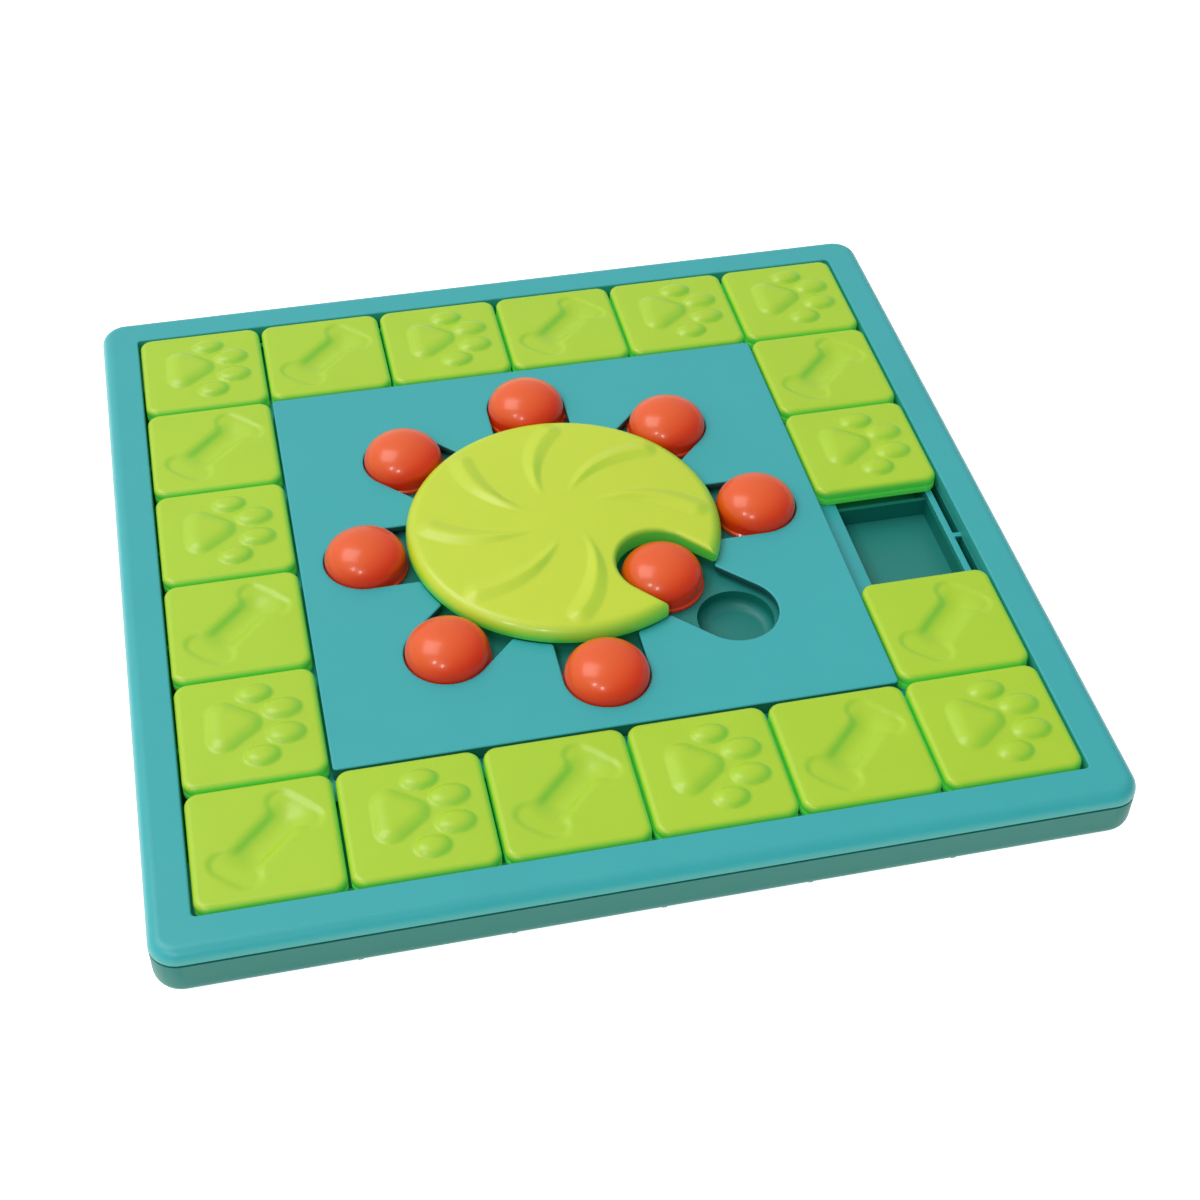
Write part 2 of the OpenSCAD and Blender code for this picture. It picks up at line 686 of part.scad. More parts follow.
// Spherical dome of the given footprint radius on the block's face
module dome(r) {
    big = (r * r + paw_rise * paw_rise) / (2 * paw_rise);
    intersection() {
        translate([0, 0, block_top + paw_rise - big]) sphere(big);
        translate([0, 0, block_top - 0.05]) cylinder(r = r, h = paw_rise + 1);
    }
}

// Sunk bone along the block's diagonal
module bone_relief() rotate(45) translate([bone_shift, 0]) {
    shaft_r = (bone_shaft * bone_shaft + bone_depth * bone_depth) / (2 * bone_depth);
    knuckle_r = (bone_knuckle * bone_knuckle + bone_depth * bone_depth) / (2 * bone_depth);
    translate([0, 0, block_top - bone_depth + shaft_r]) rotate([0, 90, 0])
        cylinder(r = shaft_r, h = 2 * bone_reach, center = true);
    for (x = [-1, 1], y = [-1, 1])
        translate([x * bone_reach, y * bone_spread, block_top - bone_depth + knuckle_r])
            sphere(knuckle_r);
}

module tile_cap(place) color(lime) translate(cell_origin(place)) difference() {
    union() {
        soft_plate(block_size, block_mid, block_top, block_corner_r, block_edge_r);
        square_plate(block_size - 2 * block_groove, block_mid - block_groove_height - seam,
            block_mid + seam, block_corner_r - block_groove);
        square_plate(block_size, block_bottom, block_mid - block_groove_height, block_corner_r);
        if (len(search(place, paw_places)) > 0) paw_relief();
    }
    difference() {
        square_plate(block_size - 2 * (block_wall + block_groove), block_bottom - eps,
            block_top - block_wall - bone_depth, block_corner_r - block_wall - block_groove);
        at_pins() cylinder(r = pin_r + pin_boss_wall, h = block_top);
    }
    at_pins() translate([0, 0, block_bottom - eps])
        cylinder(r = pin_r + screw_clearance, h = block_mid - block_bottom + eps);
    if (len(search(place, bone_places)) > 0) bone_relief();
}

module at_pins() {
    for (x = [-1, 1], y = [-1, 1]) translate([x, y] * pin_place) children();
}

module tile_slider(place) color(lime * 0.85) translate(cell_origin(place)) {
    square_plate(slider_width, slider_bottom, slider_top, slider_corner_r);
    square_plate(neck_width, slider_bottom, block_bottom, slider_corner_r);
    at_pins() translate([0, 0, block_bottom - seam])
        cylinder(r = pin_r, h = block_mid - block_bottom - thread_gap);
}

base_shell();
base_deck();
base_cups();
base_walls();
outer_frame();
centre_panel();
disc();
disc_washer();
disc_screw();
for (k = knob_numbers) knob(k);
for (p = block_places) tile_cap(p);
for (p = block_places) tile_slider(p);
frame_screws();
panel_screws();
rubber_feet();
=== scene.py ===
"""Looks of a sliding-block treat puzzle: a square board with a ring of sliding blocks, a turning
disc and eight domed knobs. Lengths are in metres unless a name or a comment says otherwise."""

import json
import math

import bmesh
import bpy
import numpy as np
from bpy.props import FloatProperty, FloatVectorProperty, IntProperty, PointerProperty
from mathutils import Matrix, Vector
from mathutils.geometry import delaunay_2d_cdt


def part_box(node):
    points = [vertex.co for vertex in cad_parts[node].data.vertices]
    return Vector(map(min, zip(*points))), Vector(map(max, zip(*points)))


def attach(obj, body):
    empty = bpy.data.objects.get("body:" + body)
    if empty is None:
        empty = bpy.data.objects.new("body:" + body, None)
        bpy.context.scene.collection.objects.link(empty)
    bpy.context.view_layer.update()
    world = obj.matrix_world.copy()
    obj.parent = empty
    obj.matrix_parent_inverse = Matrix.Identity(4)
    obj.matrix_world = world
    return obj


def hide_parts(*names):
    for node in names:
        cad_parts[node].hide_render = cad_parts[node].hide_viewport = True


bl_info = {
    "name": "Sliding Treat Puzzle",
    "version": (1, 0, 0),
    "blender": (4, 5, 0),
    "location": "View3D > Sidebar > Treat Puzzle",
    "description": "Builds the shells, blocks, disc and knobs of a sliding-block treat puzzle",
    "category": "Object",
}

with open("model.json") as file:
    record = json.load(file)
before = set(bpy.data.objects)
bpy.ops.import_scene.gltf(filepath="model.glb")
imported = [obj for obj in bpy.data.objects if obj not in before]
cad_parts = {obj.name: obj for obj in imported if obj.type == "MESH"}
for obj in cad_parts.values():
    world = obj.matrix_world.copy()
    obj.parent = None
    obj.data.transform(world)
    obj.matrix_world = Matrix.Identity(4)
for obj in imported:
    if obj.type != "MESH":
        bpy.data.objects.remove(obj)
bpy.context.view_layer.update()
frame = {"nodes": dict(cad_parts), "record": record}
MM = 0.001


def linear(red, green, blue):
    """Linear colour of a display colour given by three numbers from 0 to 255."""
    shares = (value / 255 for value in (red, green, blue))
    return tuple(c / 12.92 if c <= 0.04045 else ((c + 0.055) / 1.055) ** 2.4 for c in shares)


def colour(name, text, red, green, blue):
    return FloatVectorProperty(
        name=name, description=text, subtype="COLOR", size=3, min=0, max=1,
        default=linear(red, green, blue),
    )


def length(name, text, millimetres):
    return FloatProperty(
        name=name, description=text, default=millimetres * MM, min=0, subtype="DISTANCE",
        unit="LENGTH",
    )


def turn(name, text, degrees):
    return FloatProperty(
        name=name, description=text, default=math.radians(degrees), subtype="ANGLE",
        unit="ROTATION",
    )


def share(name, text, default):
    return FloatProperty(
        name=name, description=text, default=default, min=0, max=1, subtype="FACTOR",
    )


def number(name, text, default, least, most):
    return IntProperty(name=name, description=text, default=default, min=least, max=most)


# ---------------------------------------------------------------- sizes and colours

class PuzzleBlocks(bpy.types.PropertyGroup):
    edge: length("Edge", "Rounding of a block's upper edge", 2.3)
    corner: length("Corner", "Plan radius of a block's corners", 6)
    crown: length("Crown", "How much the face of a block bulges", 0.25)
    paw_height: length("Paw height", "Height of the raised paw", 2.1)
    pad_slope: length("Pad slope", "Width of the slope round the pad of a paw", 7.4)
    bone_depth: length("Bone depth", "Depth of the sunk bone at its knuckles", 0.85)
    bone_scoop: length("Bone scoop", "Further depth of the bone's shaft", 1.9)
    bone_slope: length("Bone slope", "Width of the slope round the bone", 3.1)
    groove_depth: length("Groove depth", "Depth of the groove around a block", 0.9)
    groove_drop: length("Groove drop", "Depth of the groove's upper edge below the face", 4.2)
    groove_height: length("Groove height", "Height of the groove around a block", 1.1)
    wall: length("Wall", "Wall thickness of a block", 2)
    cells: number("Cells", "Half the number of mesh cells across a face", 36, 12, 64)


class PuzzleDisc(bpy.types.PropertyGroup):
    edge: length("Edge", "Rounding of the disc's upper edge", 5.4)
    notch_edge: length("Notch edge", "Rounding of the notch's upper edge", 2.2)
    edge_rise: length("Edge rise", "Height of the disc's edge above the playing surface", 7.6)
    crown: length("Crown", "Rise of the disc's middle above its edge", 3)
    gap: length("Gap", "Height of the disc's underside above the playing surface", 0.8)
    ridge_height: length("Ridge height", "Height of a ridge above the disc's face", 1.5)
    ridge_width: length("Ridge width", "Half width of a ridge at its outer end", 6.6)
    ridge_from: length("Ridge start", "Distance of a ridge's inner end from the middle", 13)
    ridge_arc: length("Ridge arc", "Radius of the arc that a ridge follows", 49)
    ridge_sweep: turn("Ridge sweep", "Angle that a ridge sweeps along its arc", 61)
    ridge_tilt: turn("Ridge tilt", "Clockwise tilt of a ridge at its inner end", 8)
    ridge_phase: turn("Ridge phase", "Direction of the first ridge's inner end", 116)
    ridge_count: number("Ridges", "Number of ridges round the disc", 8, 3, 12)
    notch_corner: length("Notch corner", "Rounding of the notch's outer corners", 1.7)
    notch_clearance: length("Notch clearance", "Gap between the notch and the knob in it", 1.2)
    hub: length("Hub", "Radius of the hub under the disc", 24)
    journal: length("Journal", "Radius of the journal in the deck", 8)


class PuzzleKnobs(bpy.types.PropertyGroup):
    dome: length("Dome", "Radius of a knob's dome", 18.2)
    brim: length("Brim", "Radius of the brim round a knob", 18.9)
    brim_height: length("Brim height", "Thickness of the brim", 1.8)
    ear_width: length("Ear width", "Width of the ears that run under the slot's lips", 12)
    ear_reach: length("Ear reach", "Distance of an ear's tip from the knob's middle", 22)
    wall: length("Wall", "Wall thickness of a knob", 2)
    steps: number("Steps", "Number of mesh steps round a knob", 96, 24, 192)


class PuzzleShells(bpy.types.PropertyGroup):
    lip: length("Lip", "Rounding of small edges", 0.7)
    frame_edge: length("Frame edge", "Rounding of the frame's upper outer edge", 5.5)
    frame_corner: length("Frame corner", "Plan radius of the board's corners", 12)
    opening_corner: length("Opening corner", "Plan radius of the opening's corners", 2)
    wall: length("Wall", "Wall thickness of the shells", 2.4)
    side_clearance: length("Side clearance", "Gap between the ring of blocks and its walls", 0.4)
    ledge: length("Ledge", "Thickness of the ledges that the blocks ride on", 1.2)
    ledge_width: length("Ledge width", "Width of the outer ledge", 6.5)
    ledge_strip: length("Ledge strip", "Width of the strip beside the ledge's slots", 3)
    slot_rib: length("Slot rib", "Width of the ribs between the slots", 2.6)
    joint_height: length("Joint height", "Height of the joint line above the table", 20)
    panel: length("Panel", "Thickness of the centre panel", 3.2)
    knob_gap: length("Knob gap", "Gap between a knob and its slot", 0.45)
    well_cover: length("Well cover", "How far the disc covers the edge of the well", 0.6)


class PuzzleFinish(bpy.types.PropertyGroup):
    teal: colour("Teal", "Frame and panel", 49, 159, 163)
    # Painted shade: the frame's side colour is laid on its upright faces, and the gap teal on the
    # walls of the panel's slots and edges, standing in for the shade there
    teal_side: colour("Teal sides", "Upright faces of the frame and panel", 46, 148, 138)
    gap_teal: colour("Gap teal", "Walls of the panel's slots and edges", 12, 58, 56)
    deep_teal: colour("Deep teal", "Base", 31, 121, 114)
    # Painted shade on the base's upright faces
    deep_side: colour("Deep teal sides", "Upright faces of the base", 10, 108, 97)
    lime: colour("Lime", "Blocks", 160, 196, 24)
    disc_lime: colour("Disc lime", "Disc", 183, 203, 32)
    # Painted shade on upright faces, on faces that slope away from the light and low on the blocks,
    # which also glows faintly as painted light
    lime_side: colour("Lime sides", "Upright faces of the blocks and the disc", 66, 184, 62)
    orange: colour("Orange", "Knobs", 217, 80, 4)
    # Painted shade on the knobs' upright faces and on faces that slope away from the light, which
    # also glows faintly as painted light
    orange_side: colour("Orange sides", "Upright faces of the knobs", 224, 50, 8)
    steel: colour("Steel", "Zinc-plated screws and washer", 190, 192, 196)
    rubber: colour("Rubber", "Anti-slip feet", 34, 35, 36)
    roughness: share("Roughness", "Roughness of the moulded faces", 0.36)
    grain: length("Grain", "Height of the moulded surface's fine grain", 0.02)


class PuzzleStudio(bpy.types.PropertyGroup):
    target: FloatVectorProperty(name="Target", description="Point that the camera looks at", size=3,
                                subtype="XYZ", unit="LENGTH", default=(0.0065, -0.0468, 0.0265))
    distance: FloatProperty(name="Distance", description="Distance of the camera from its target",
                            default=0.8729, subtype="DISTANCE", unit="LENGTH")
    azimuth: turn("Azimuth", "Direction of the camera about the vertical", -13.3)
    elevation: turn("Elevation", "Height of the camera above the horizon", 44.65)
    roll: turn("Roll", "Turn of the camera about its own axis", 1.17)
    lens: FloatProperty(name="Lens", description="Focal length in millimetres", default=59.9)
    floor: colour("Floor", "Table top", 246, 246, 246)
    sky: FloatProperty(name="Sky", description="Brightness of the sky", default=1.03, min=0)


GROUPS = {
    "puzzle_blocks": PuzzleBlocks,
    "puzzle_disc": PuzzleDisc,
    "puzzle_knobs": PuzzleKnobs,
    "puzzle_shells": PuzzleShells,
    "puzzle_finish": PuzzleFinish,
    "puzzle_studio": PuzzleStudio,
}


# ---------------------------------------------------------------- places read from the frame

BODY_OF = {node: body for body, nodes in frame["record"]["behaviour"]["bodies"].items()
           for node in nodes}


def nodes_named(start):
    return sorted(name for name in frame["nodes"] if name.startswith(start))


def middle(node):
    low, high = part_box(node)
    return (low + high) / 2


def top(node):
    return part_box(node)[1].z


def bottom(node):
    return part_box(node)[0].z


SURFACE = top("outer_frame")
BOARD_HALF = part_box("outer_frame")[1].x
PITCH = middle("tile_cap_02").x - middle("tile_cap_01").x
DISC_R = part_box("disc")[1].x
KNOB_OUT = middle("knob_1").x
PAW_TOP = max(top(name) for name in nodes_named("tile_cap_"))
BLOCK_RISE = 1 * MM
# Blocks whose relief is sunk, so that they end lower than the ones with a raised paw
BONE_BLOCKS = [name for name in nodes_named("tile_cap_") if top(name) < PAW_TOP - 0.5 * MM]


# ---------------------------------------------------------------- shader maths

class Wire:
    """An output socket that can be used in a Python expression."""

    def __init__(self, sheet, socket):
        self.sheet = sheet
        self.socket = socket

    def _math(self, operation, first, second):
        return self.sheet.node("ShaderNodeMath", inputs={0: first, 1: second}, operation=operation)

    def __add__(self, other):
        return self._math("ADD", self, other)

    __radd__ = __add__

    def __sub__(self, other):
        return self._math("SUBTRACT", self, other)

    def __rsub__(self, other):
        return self._math("SUBTRACT", other, self)

    def __mul__(self, other):
        return self._math("MULTIPLY", self, other)

    __rmul__ = __mul__


class Sheet:
    """The node sheet of a material or a world, with the shader that it ends in."""

    def __init__(self, owner, shader="Principled BSDF"):
        owner.use_nodes = True
        self.owner = owner
        self.tree = owner.node_tree
        self.shader = self.tree.nodes[shader]

    def node(self, kind, output=0, inputs=None, stops=None, **settings):
        """One output of a new node, whose settings and ramp stops are set before its inputs."""
        made = self.tree.nodes.new(kind)
        for name, value in settings.items():
            setattr(made, name, value)
        for place, (position, shade) in enumerate(stops or ()):
            marks = made.color_ramp.elements
            mark = marks[place] if place < len(marks) else marks.new(position)
            mark.position, mark.color = position, shade
        for key, value in (inputs or {}).items():
            self.feed(made.inputs[key], value)
        return Wire(self, made.outputs[output])

    def feed(self, socket, value):
        """Links a wire to a socket, or sets the socket's own value."""
        if isinstance(value, Wire):
            self.tree.links.new(value.socket, socket)
        else:
            socket.default_value = value

    def place(self):
        """Place on the piece, in metres."""
        return self.node("ShaderNodeTexCoord", "Object")

    def noise(self, place, scale, detail=2.0, roughness=0.5):
        """Noise from 0 to 1 with the given number of cells per metre."""
        return self.node("ShaderNodeTexNoise", "Fac", {
            "Vector": place, "Scale": scale, "Detail": detail, "Roughness": roughness,
        })

    def between(self, factor, first, second):
        """Colour between two colours."""
        ends = [end if isinstance(end, Wire) else (*end, 1) for end in (first, second)]
        return self.node("ShaderNodeMix", 2, {0: factor, 6: ends[0], 7: ends[1]},
                         data_type="RGBA")

    def upward(self, vector):
        return self.node("ShaderNodeSeparateXYZ", "Z", {0: vector})

    def along(self, vector, way):
        return self.node("ShaderNodeVectorMath", "Value", {0: vector, 1: way},
                         operation="DOT_PRODUCT")

    def fade(self, value, start, stop, most=1.0):
        """A number that goes from 0 to its most while the value goes from start to stop."""
        return self.node("ShaderNodeMapRange", 0, {"Value": value, 1: start, 2: stop, 4: most})

    def larger(self, one, other):
        return self.node("ShaderNodeMath", 0, {0: one, 1: other}, operation="MAXIMUM")

    def bump(self, height, distance, strength=1.0):
        return self.node("ShaderNodeBump", 0, {
            "Strength": strength, "Distance": distance, "Height": height,
        })

    def finish(self, **values):
        """Feeds the shader's sockets, and returns the finished material or world."""
        for name, value in values.items():
            self.feed(self.shader.inputs[name.replace("_", " ")], value)
        return self.owner


def material_sheet(name):
    return Sheet(bpy.data.materials.new(name))


def tinted(base, factor):
    return tuple(min(1.0, channel * factor) for channel in base)


# Cells per metre, detail and roughness of the noises in moulded plastic
CLOUDS = (11, 4, 0.55)
PATCHES = (46, 3, 0.6)
ORANGE_PEEL = (260, 1, 0.4)
FINE_GRAIN = (1500, 2, 0.6)
# Share of the clouds in the tint, where the patches are the rest, and its reach to either side
CLOUD_SHARE = 0.7
TINT_SPREAD = 0.06
# How much the patches and the grain change the roughness, and how high each noise stands
PATCH_DULLNESS, GRAIN_DULLNESS = 0.16, 0.12
PATCH_RISE, PEEL_RISE, GRAIN_RISE = 1.5, 0.8, 0.5
# Direction in which faces get the most light
LIT_WAY = (-0.5, 0.1, 0.86)
# How far faces point up, and towards the light, where the painted shade starts and where it is full
UPRIGHT_SHADE = (0.55, 0.0)
LEANING_SHADE = (0.83, 0.25)
# Height over which the painted shade below a height fades in
BELOW_SHADE_FADE = 0.6 * MM
# The colours of each plastic, its own and its painted shade, then what sets it apart: how much
# duller and how grainy it is, its gloss, its sheen, how strongly its painted shade glows as painted
# light, which also sets its subsurface weight, how much painted shade faces that slope away from
# the light get, and the height below which it is painted shade all over
PLASTICS = {
    "teal_plastic": {"base": "teal", "side": "teal_side"},
    "panel_plastic": {"base": "teal", "side": "gap_teal"},
    "deep_teal_plastic": {"base": "deep_teal", "side": "deep_side", "duller": 0.06, "sheen": 0.3},
    "lime_plastic": {
        "base": "lime", "side": "lime_side", "duller": 0.02, "grainier": 0.6, "gloss": 0.24,
        "sheen": 0.45, "painted_glow_and_subsurface": 0.34, "lean_shade": 0.75, "below": SURFACE - 2.4 * MM,
    },
    "disc_plastic": {
        "base": "disc_lime", "side": "lime_side", "duller": 0.04, "grainier": 0.6, "gloss": 0.25,
        "sheen": 0.5, "painted_glow_and_subsurface": 0.25, "lean_shade": 0.6,
    },
    "orange_plastic": {
        "base": "orange", "side": "orange_side", "grainier": 0.6, "gloss": 0.45, "sheen": 0.3,
        "painted_glow_and_subsurface": 0.05, "lean_shade": 1.0,
    },
}


def moulded_plastic(name, look, base, side, duller=0.0, grainier=1.0, gloss=0.0, sheen=0.4,
                    painted_glow_and_subsurface=0.0, lean_shade=0.0, below=None):
    """Injection-moulded plastic: faint flow clouds, a fine grain, a few dull patches, and painted
    shade, a second colour laid on upright faces, on faces that slope away from the light, and below
    a height, where it also glows faintly as painted light."""
    base, side = getattr(look, base), getattr(look, side)
    sheet = material_sheet(name)
    place = sheet.place()
    cloud, patch, peel, fine = (
        sheet.noise(place, *noise) for noise in (CLOUDS, PATCHES, ORANGE_PEEL, FINE_GRAIN))
    shade = sheet.between(cloud * CLOUD_SHARE + patch * (1 - CLOUD_SHARE),
                          tinted(base, 1 - TINT_SPREAD), tinted(base, 1 + TINT_SPREAD))
    # Painted shade: the side colour is laid on upright faces, on faces that slope away from the
    # light and below a height
    facing = sheet.node("ShaderNodeNewGeometry", "Normal")
    painted_shade = sheet.fade(sheet.upward(facing), *UPRIGHT_SHADE)
    if lean_shade:
        painted_lean_shade = sheet.fade(sheet.along(facing, LIT_WAY), *LEANING_SHADE, lean_shade)
        painted_shade = sheet.larger(painted_shade, painted_lean_shade)
    if below:
        # Painted shade below a height, in the blocks' grooves and the gaps between them
        low = sheet.fade(sheet.upward(place), below, below - BELOW_SHADE_FADE)
        painted_shade = sheet.larger(painted_shade, low)
    uneven = (patch - 0.5) * PATCH_DULLNESS + (fine - 0.5) * GRAIN_DULLNESS
    relief = fine * GRAIN_RISE + peel * PEEL_RISE + patch * PATCH_RISE
    return sheet.finish(
        Base_Color=sheet.between(painted_shade, shade, side),
        Roughness=look.roughness + duller + uneven,
        Normal=sheet.bump(relief, look.grain * grainier),
        Coat_Weight=gloss, Coat_Roughness=0.17, Specular_IOR_Level=sheen,
        # Painted light: where the painted shade lies, its side colour glows faintly; the same
        # number also sets the subsurface weight
        Emission_Color=sheet.between(painted_shade, (0, 0, 0), side), Emission_Strength=painted_glow_and_subsurface,
        Subsurface_Weight=painted_glow_and_subsurface * 0.4, Subsurface_Radius=(0.6, 1.0, 0.3),
        Subsurface_Scale=3 * MM,
    )


def plated_steel(name, base):
    """Zinc-plated steel with fine brush marks."""
    sheet = material_sheet(name)
    place = sheet.place()
    cloud = sheet.noise(place, 300, 3)
    fine = sheet.noise(place, 4000, 2)
    return sheet.finish(
        Base_Color=sheet.between(cloud, tinted(base, 0.85), base), Metallic=1.0,
        Roughness=0.3 + cloud * 0.2, Normal=sheet.bump(fine, 0.02 * MM, 0.5),
    )


def soft_rubber(name, base):
    """Matt rubber with a sanded grain."""
    sheet = material_sheet(name)
    place = sheet.place()
    fine = sheet.noise(place, 2500, 3)
    dust = sheet.noise(place, 90, 3)
    return sheet.finish(
        Base_Color=sheet.between(dust, base, tinted(base, 1.6)), Roughness=0.75 + fine * 0.2,
        Normal=sheet.bump(fine, 0.05 * MM, 0.8),
    )


def finish_of(kind):
    """The material of that kind, made when it is first asked for."""
    found = bpy.data.materials.get(kind)
    if found:
        return found
    look = bpy.context.scene.puzzle_finish
    if kind in PLASTICS:
        return moulded_plastic(kind, look, **PLASTICS[kind])
    if kind == "zinc_steel":
        return plated_steel(kind, look.steel)
    return soft_rubber(kind, look.rubber)


# ---------------------------------------------------------------- outlines and meshes

class Outline:
    """A closed outline: points, and at each the direction away from the material."""

    def __init__(self, points, normals):
        self.points = np.asarray(points, float)
        self.normals = np.asarray(normals, float)

    def inset(self, distance):
        """Points moved into the material."""
        return self.points - self.normals * distance

    def turned(self, angle):
        spin = np.array([[math.cos(angle), math.sin(angle)], [-math.sin(angle), math.cos(angle)]])
        return Outline(self.points @ spin, self.normals @ spin)

    def flipped(self):
        """The same outline with the material on its other side."""
        return Outline(self.points, -self.normals)


def arc(centre, radius, start, stop, step):
    """Points of an arc from one angle in degrees to another, without its last point, and their
    directions to the right of the way along it."""
    count = max(1, round(abs(math.radians(stop - start)) * radius / step))
    angles = np.radians(np.linspace(start, stop, count, endpoint=False))
    away = np.column_stack([np.cos(angles), np.sin(angles)])
    return centre + radius * away, away * (1 if stop > start else -1)


def line(start, stop, step):
    """The same for a straight line."""
    start, stop = np.asarray(start, float), np.asarray(stop, float)
    way = stop - start
    count = max(1, round(np.linalg.norm(way) / step))
    right = np.array([way[1], -way[0]]) / np.linalg.norm(way)
    points = start + np.linspace(0, 1, count, endpoint=False)[:, None] * way
    return points, np.tile(right, (count, 1))


def joined(*stretches):
    """One outline of stretches, which are each their points and directions."""
    return Outline(*(np.vstack(part) for part in zip(*stretches)))


def quarter(steps, falling=False):
    """Angles of a quarter turn in equal steps."""
    turns = [math.pi / 2 * n / steps for n in range(steps + 1)]
    return turns[::-1] if falling else turns


def circle(steps):
    """Angles of a whole turn in equal steps, without the last one."""
    return np.linspace(0, 2 * math.pi, steps, endpoint=False)


def rounded_square(half, radius, corner_steps=12, side_steps=40):
    """Outline that starts in the middle of the front left corner and has the same number of points
    at every size."""
    flat = half - radius
    angles = np.radians(np.linspace(225, 270, corner_steps // 2, endpoint=False))
    first = np.column_stack([np.cos(angles), np.sin(angles)])
    second = first[::-1] * (-1, 1)
    along = np.linspace(-flat, flat, side_steps + 1)
    points = np.vstack([
        first * radius + (-flat, -flat),
        np.column_stack([along, np.full(side_steps + 1, -half)]),
        second[:-1] * radius + (flat, -flat),
    ])
    normals = np.vstack([first, np.tile((0.0, -1.0), (side_steps + 1, 1)), second[:-1]])
    side = Outline(points, normals)
    sides = [side.turned(math.radians(90 * n)) for n in range(4)]
    return joined(*((each.points, each.normals) for each in sides))


def inside(points, loops):
    """Whether each point lies in an odd number of the loops."""
    x, y = points[:, 0, None], points[:, 1, None]
    crossings = np.zeros(len(points), int)
    for loop in loops:
        x0, y0 = loop[:, 0], loop[:, 1]
        x1, y1 = np.roll(x0, -1), np.roll(y0, -1)
        spans = (y0 > y) != (y1 > y)
        rise = np.where(y1 == y0, 1.0, y1 - y0)
        crossings += (spans & (x < x0 + (y - y0) * (x1 - x0) / rise)).sum(axis=1)
    return crossings % 2 == 1


def edge_distance(points, loop):
    """Distance of each point from a closed loop."""
    way = np.roll(loop, -1, axis=0) - loop
    squares = (way ** 2).sum(axis=1)
    best = np.empty(len(points))
    # In batches, so that the arrays stay small
    batch = 4000
    for first in range(0, len(points), batch):
        some = slice(first, first + batch)
        off = points[some, None] - loop
        part = np.clip((off * way).sum(axis=2) / squares, 0, 1)
        best[some] = np.linalg.norm(off - part[..., None] * way, axis=2).min(axis=1)
    return best


# Where the flat face begins beside a rounded edge, as a share of the edge's radius
LIP_MARGIN, PLATE_MARGIN, FRAME_MARGIN = 1.3, 1.25, 1.1
# Inset and height of a small rounded edge's middle row, as a share of its radius
SOFT_STEP = 0.3
# The triangulation's way of leaving out all that lies outside, and its least gap between points
INSIDE_ONLY = 1
POINT_GAP = 1e-9


def softened(height, soft, way, back=False):
    """Insets and heights of a small rounded edge, from a flat face to an upright one that lies
    above it for a way of 1 and below it for -1, or back."""
    near = soft * SOFT_STEP
    steps = [(soft, height), (near, height + near * way), (0, height + soft * way)]
    return steps[::-1] if back else steps


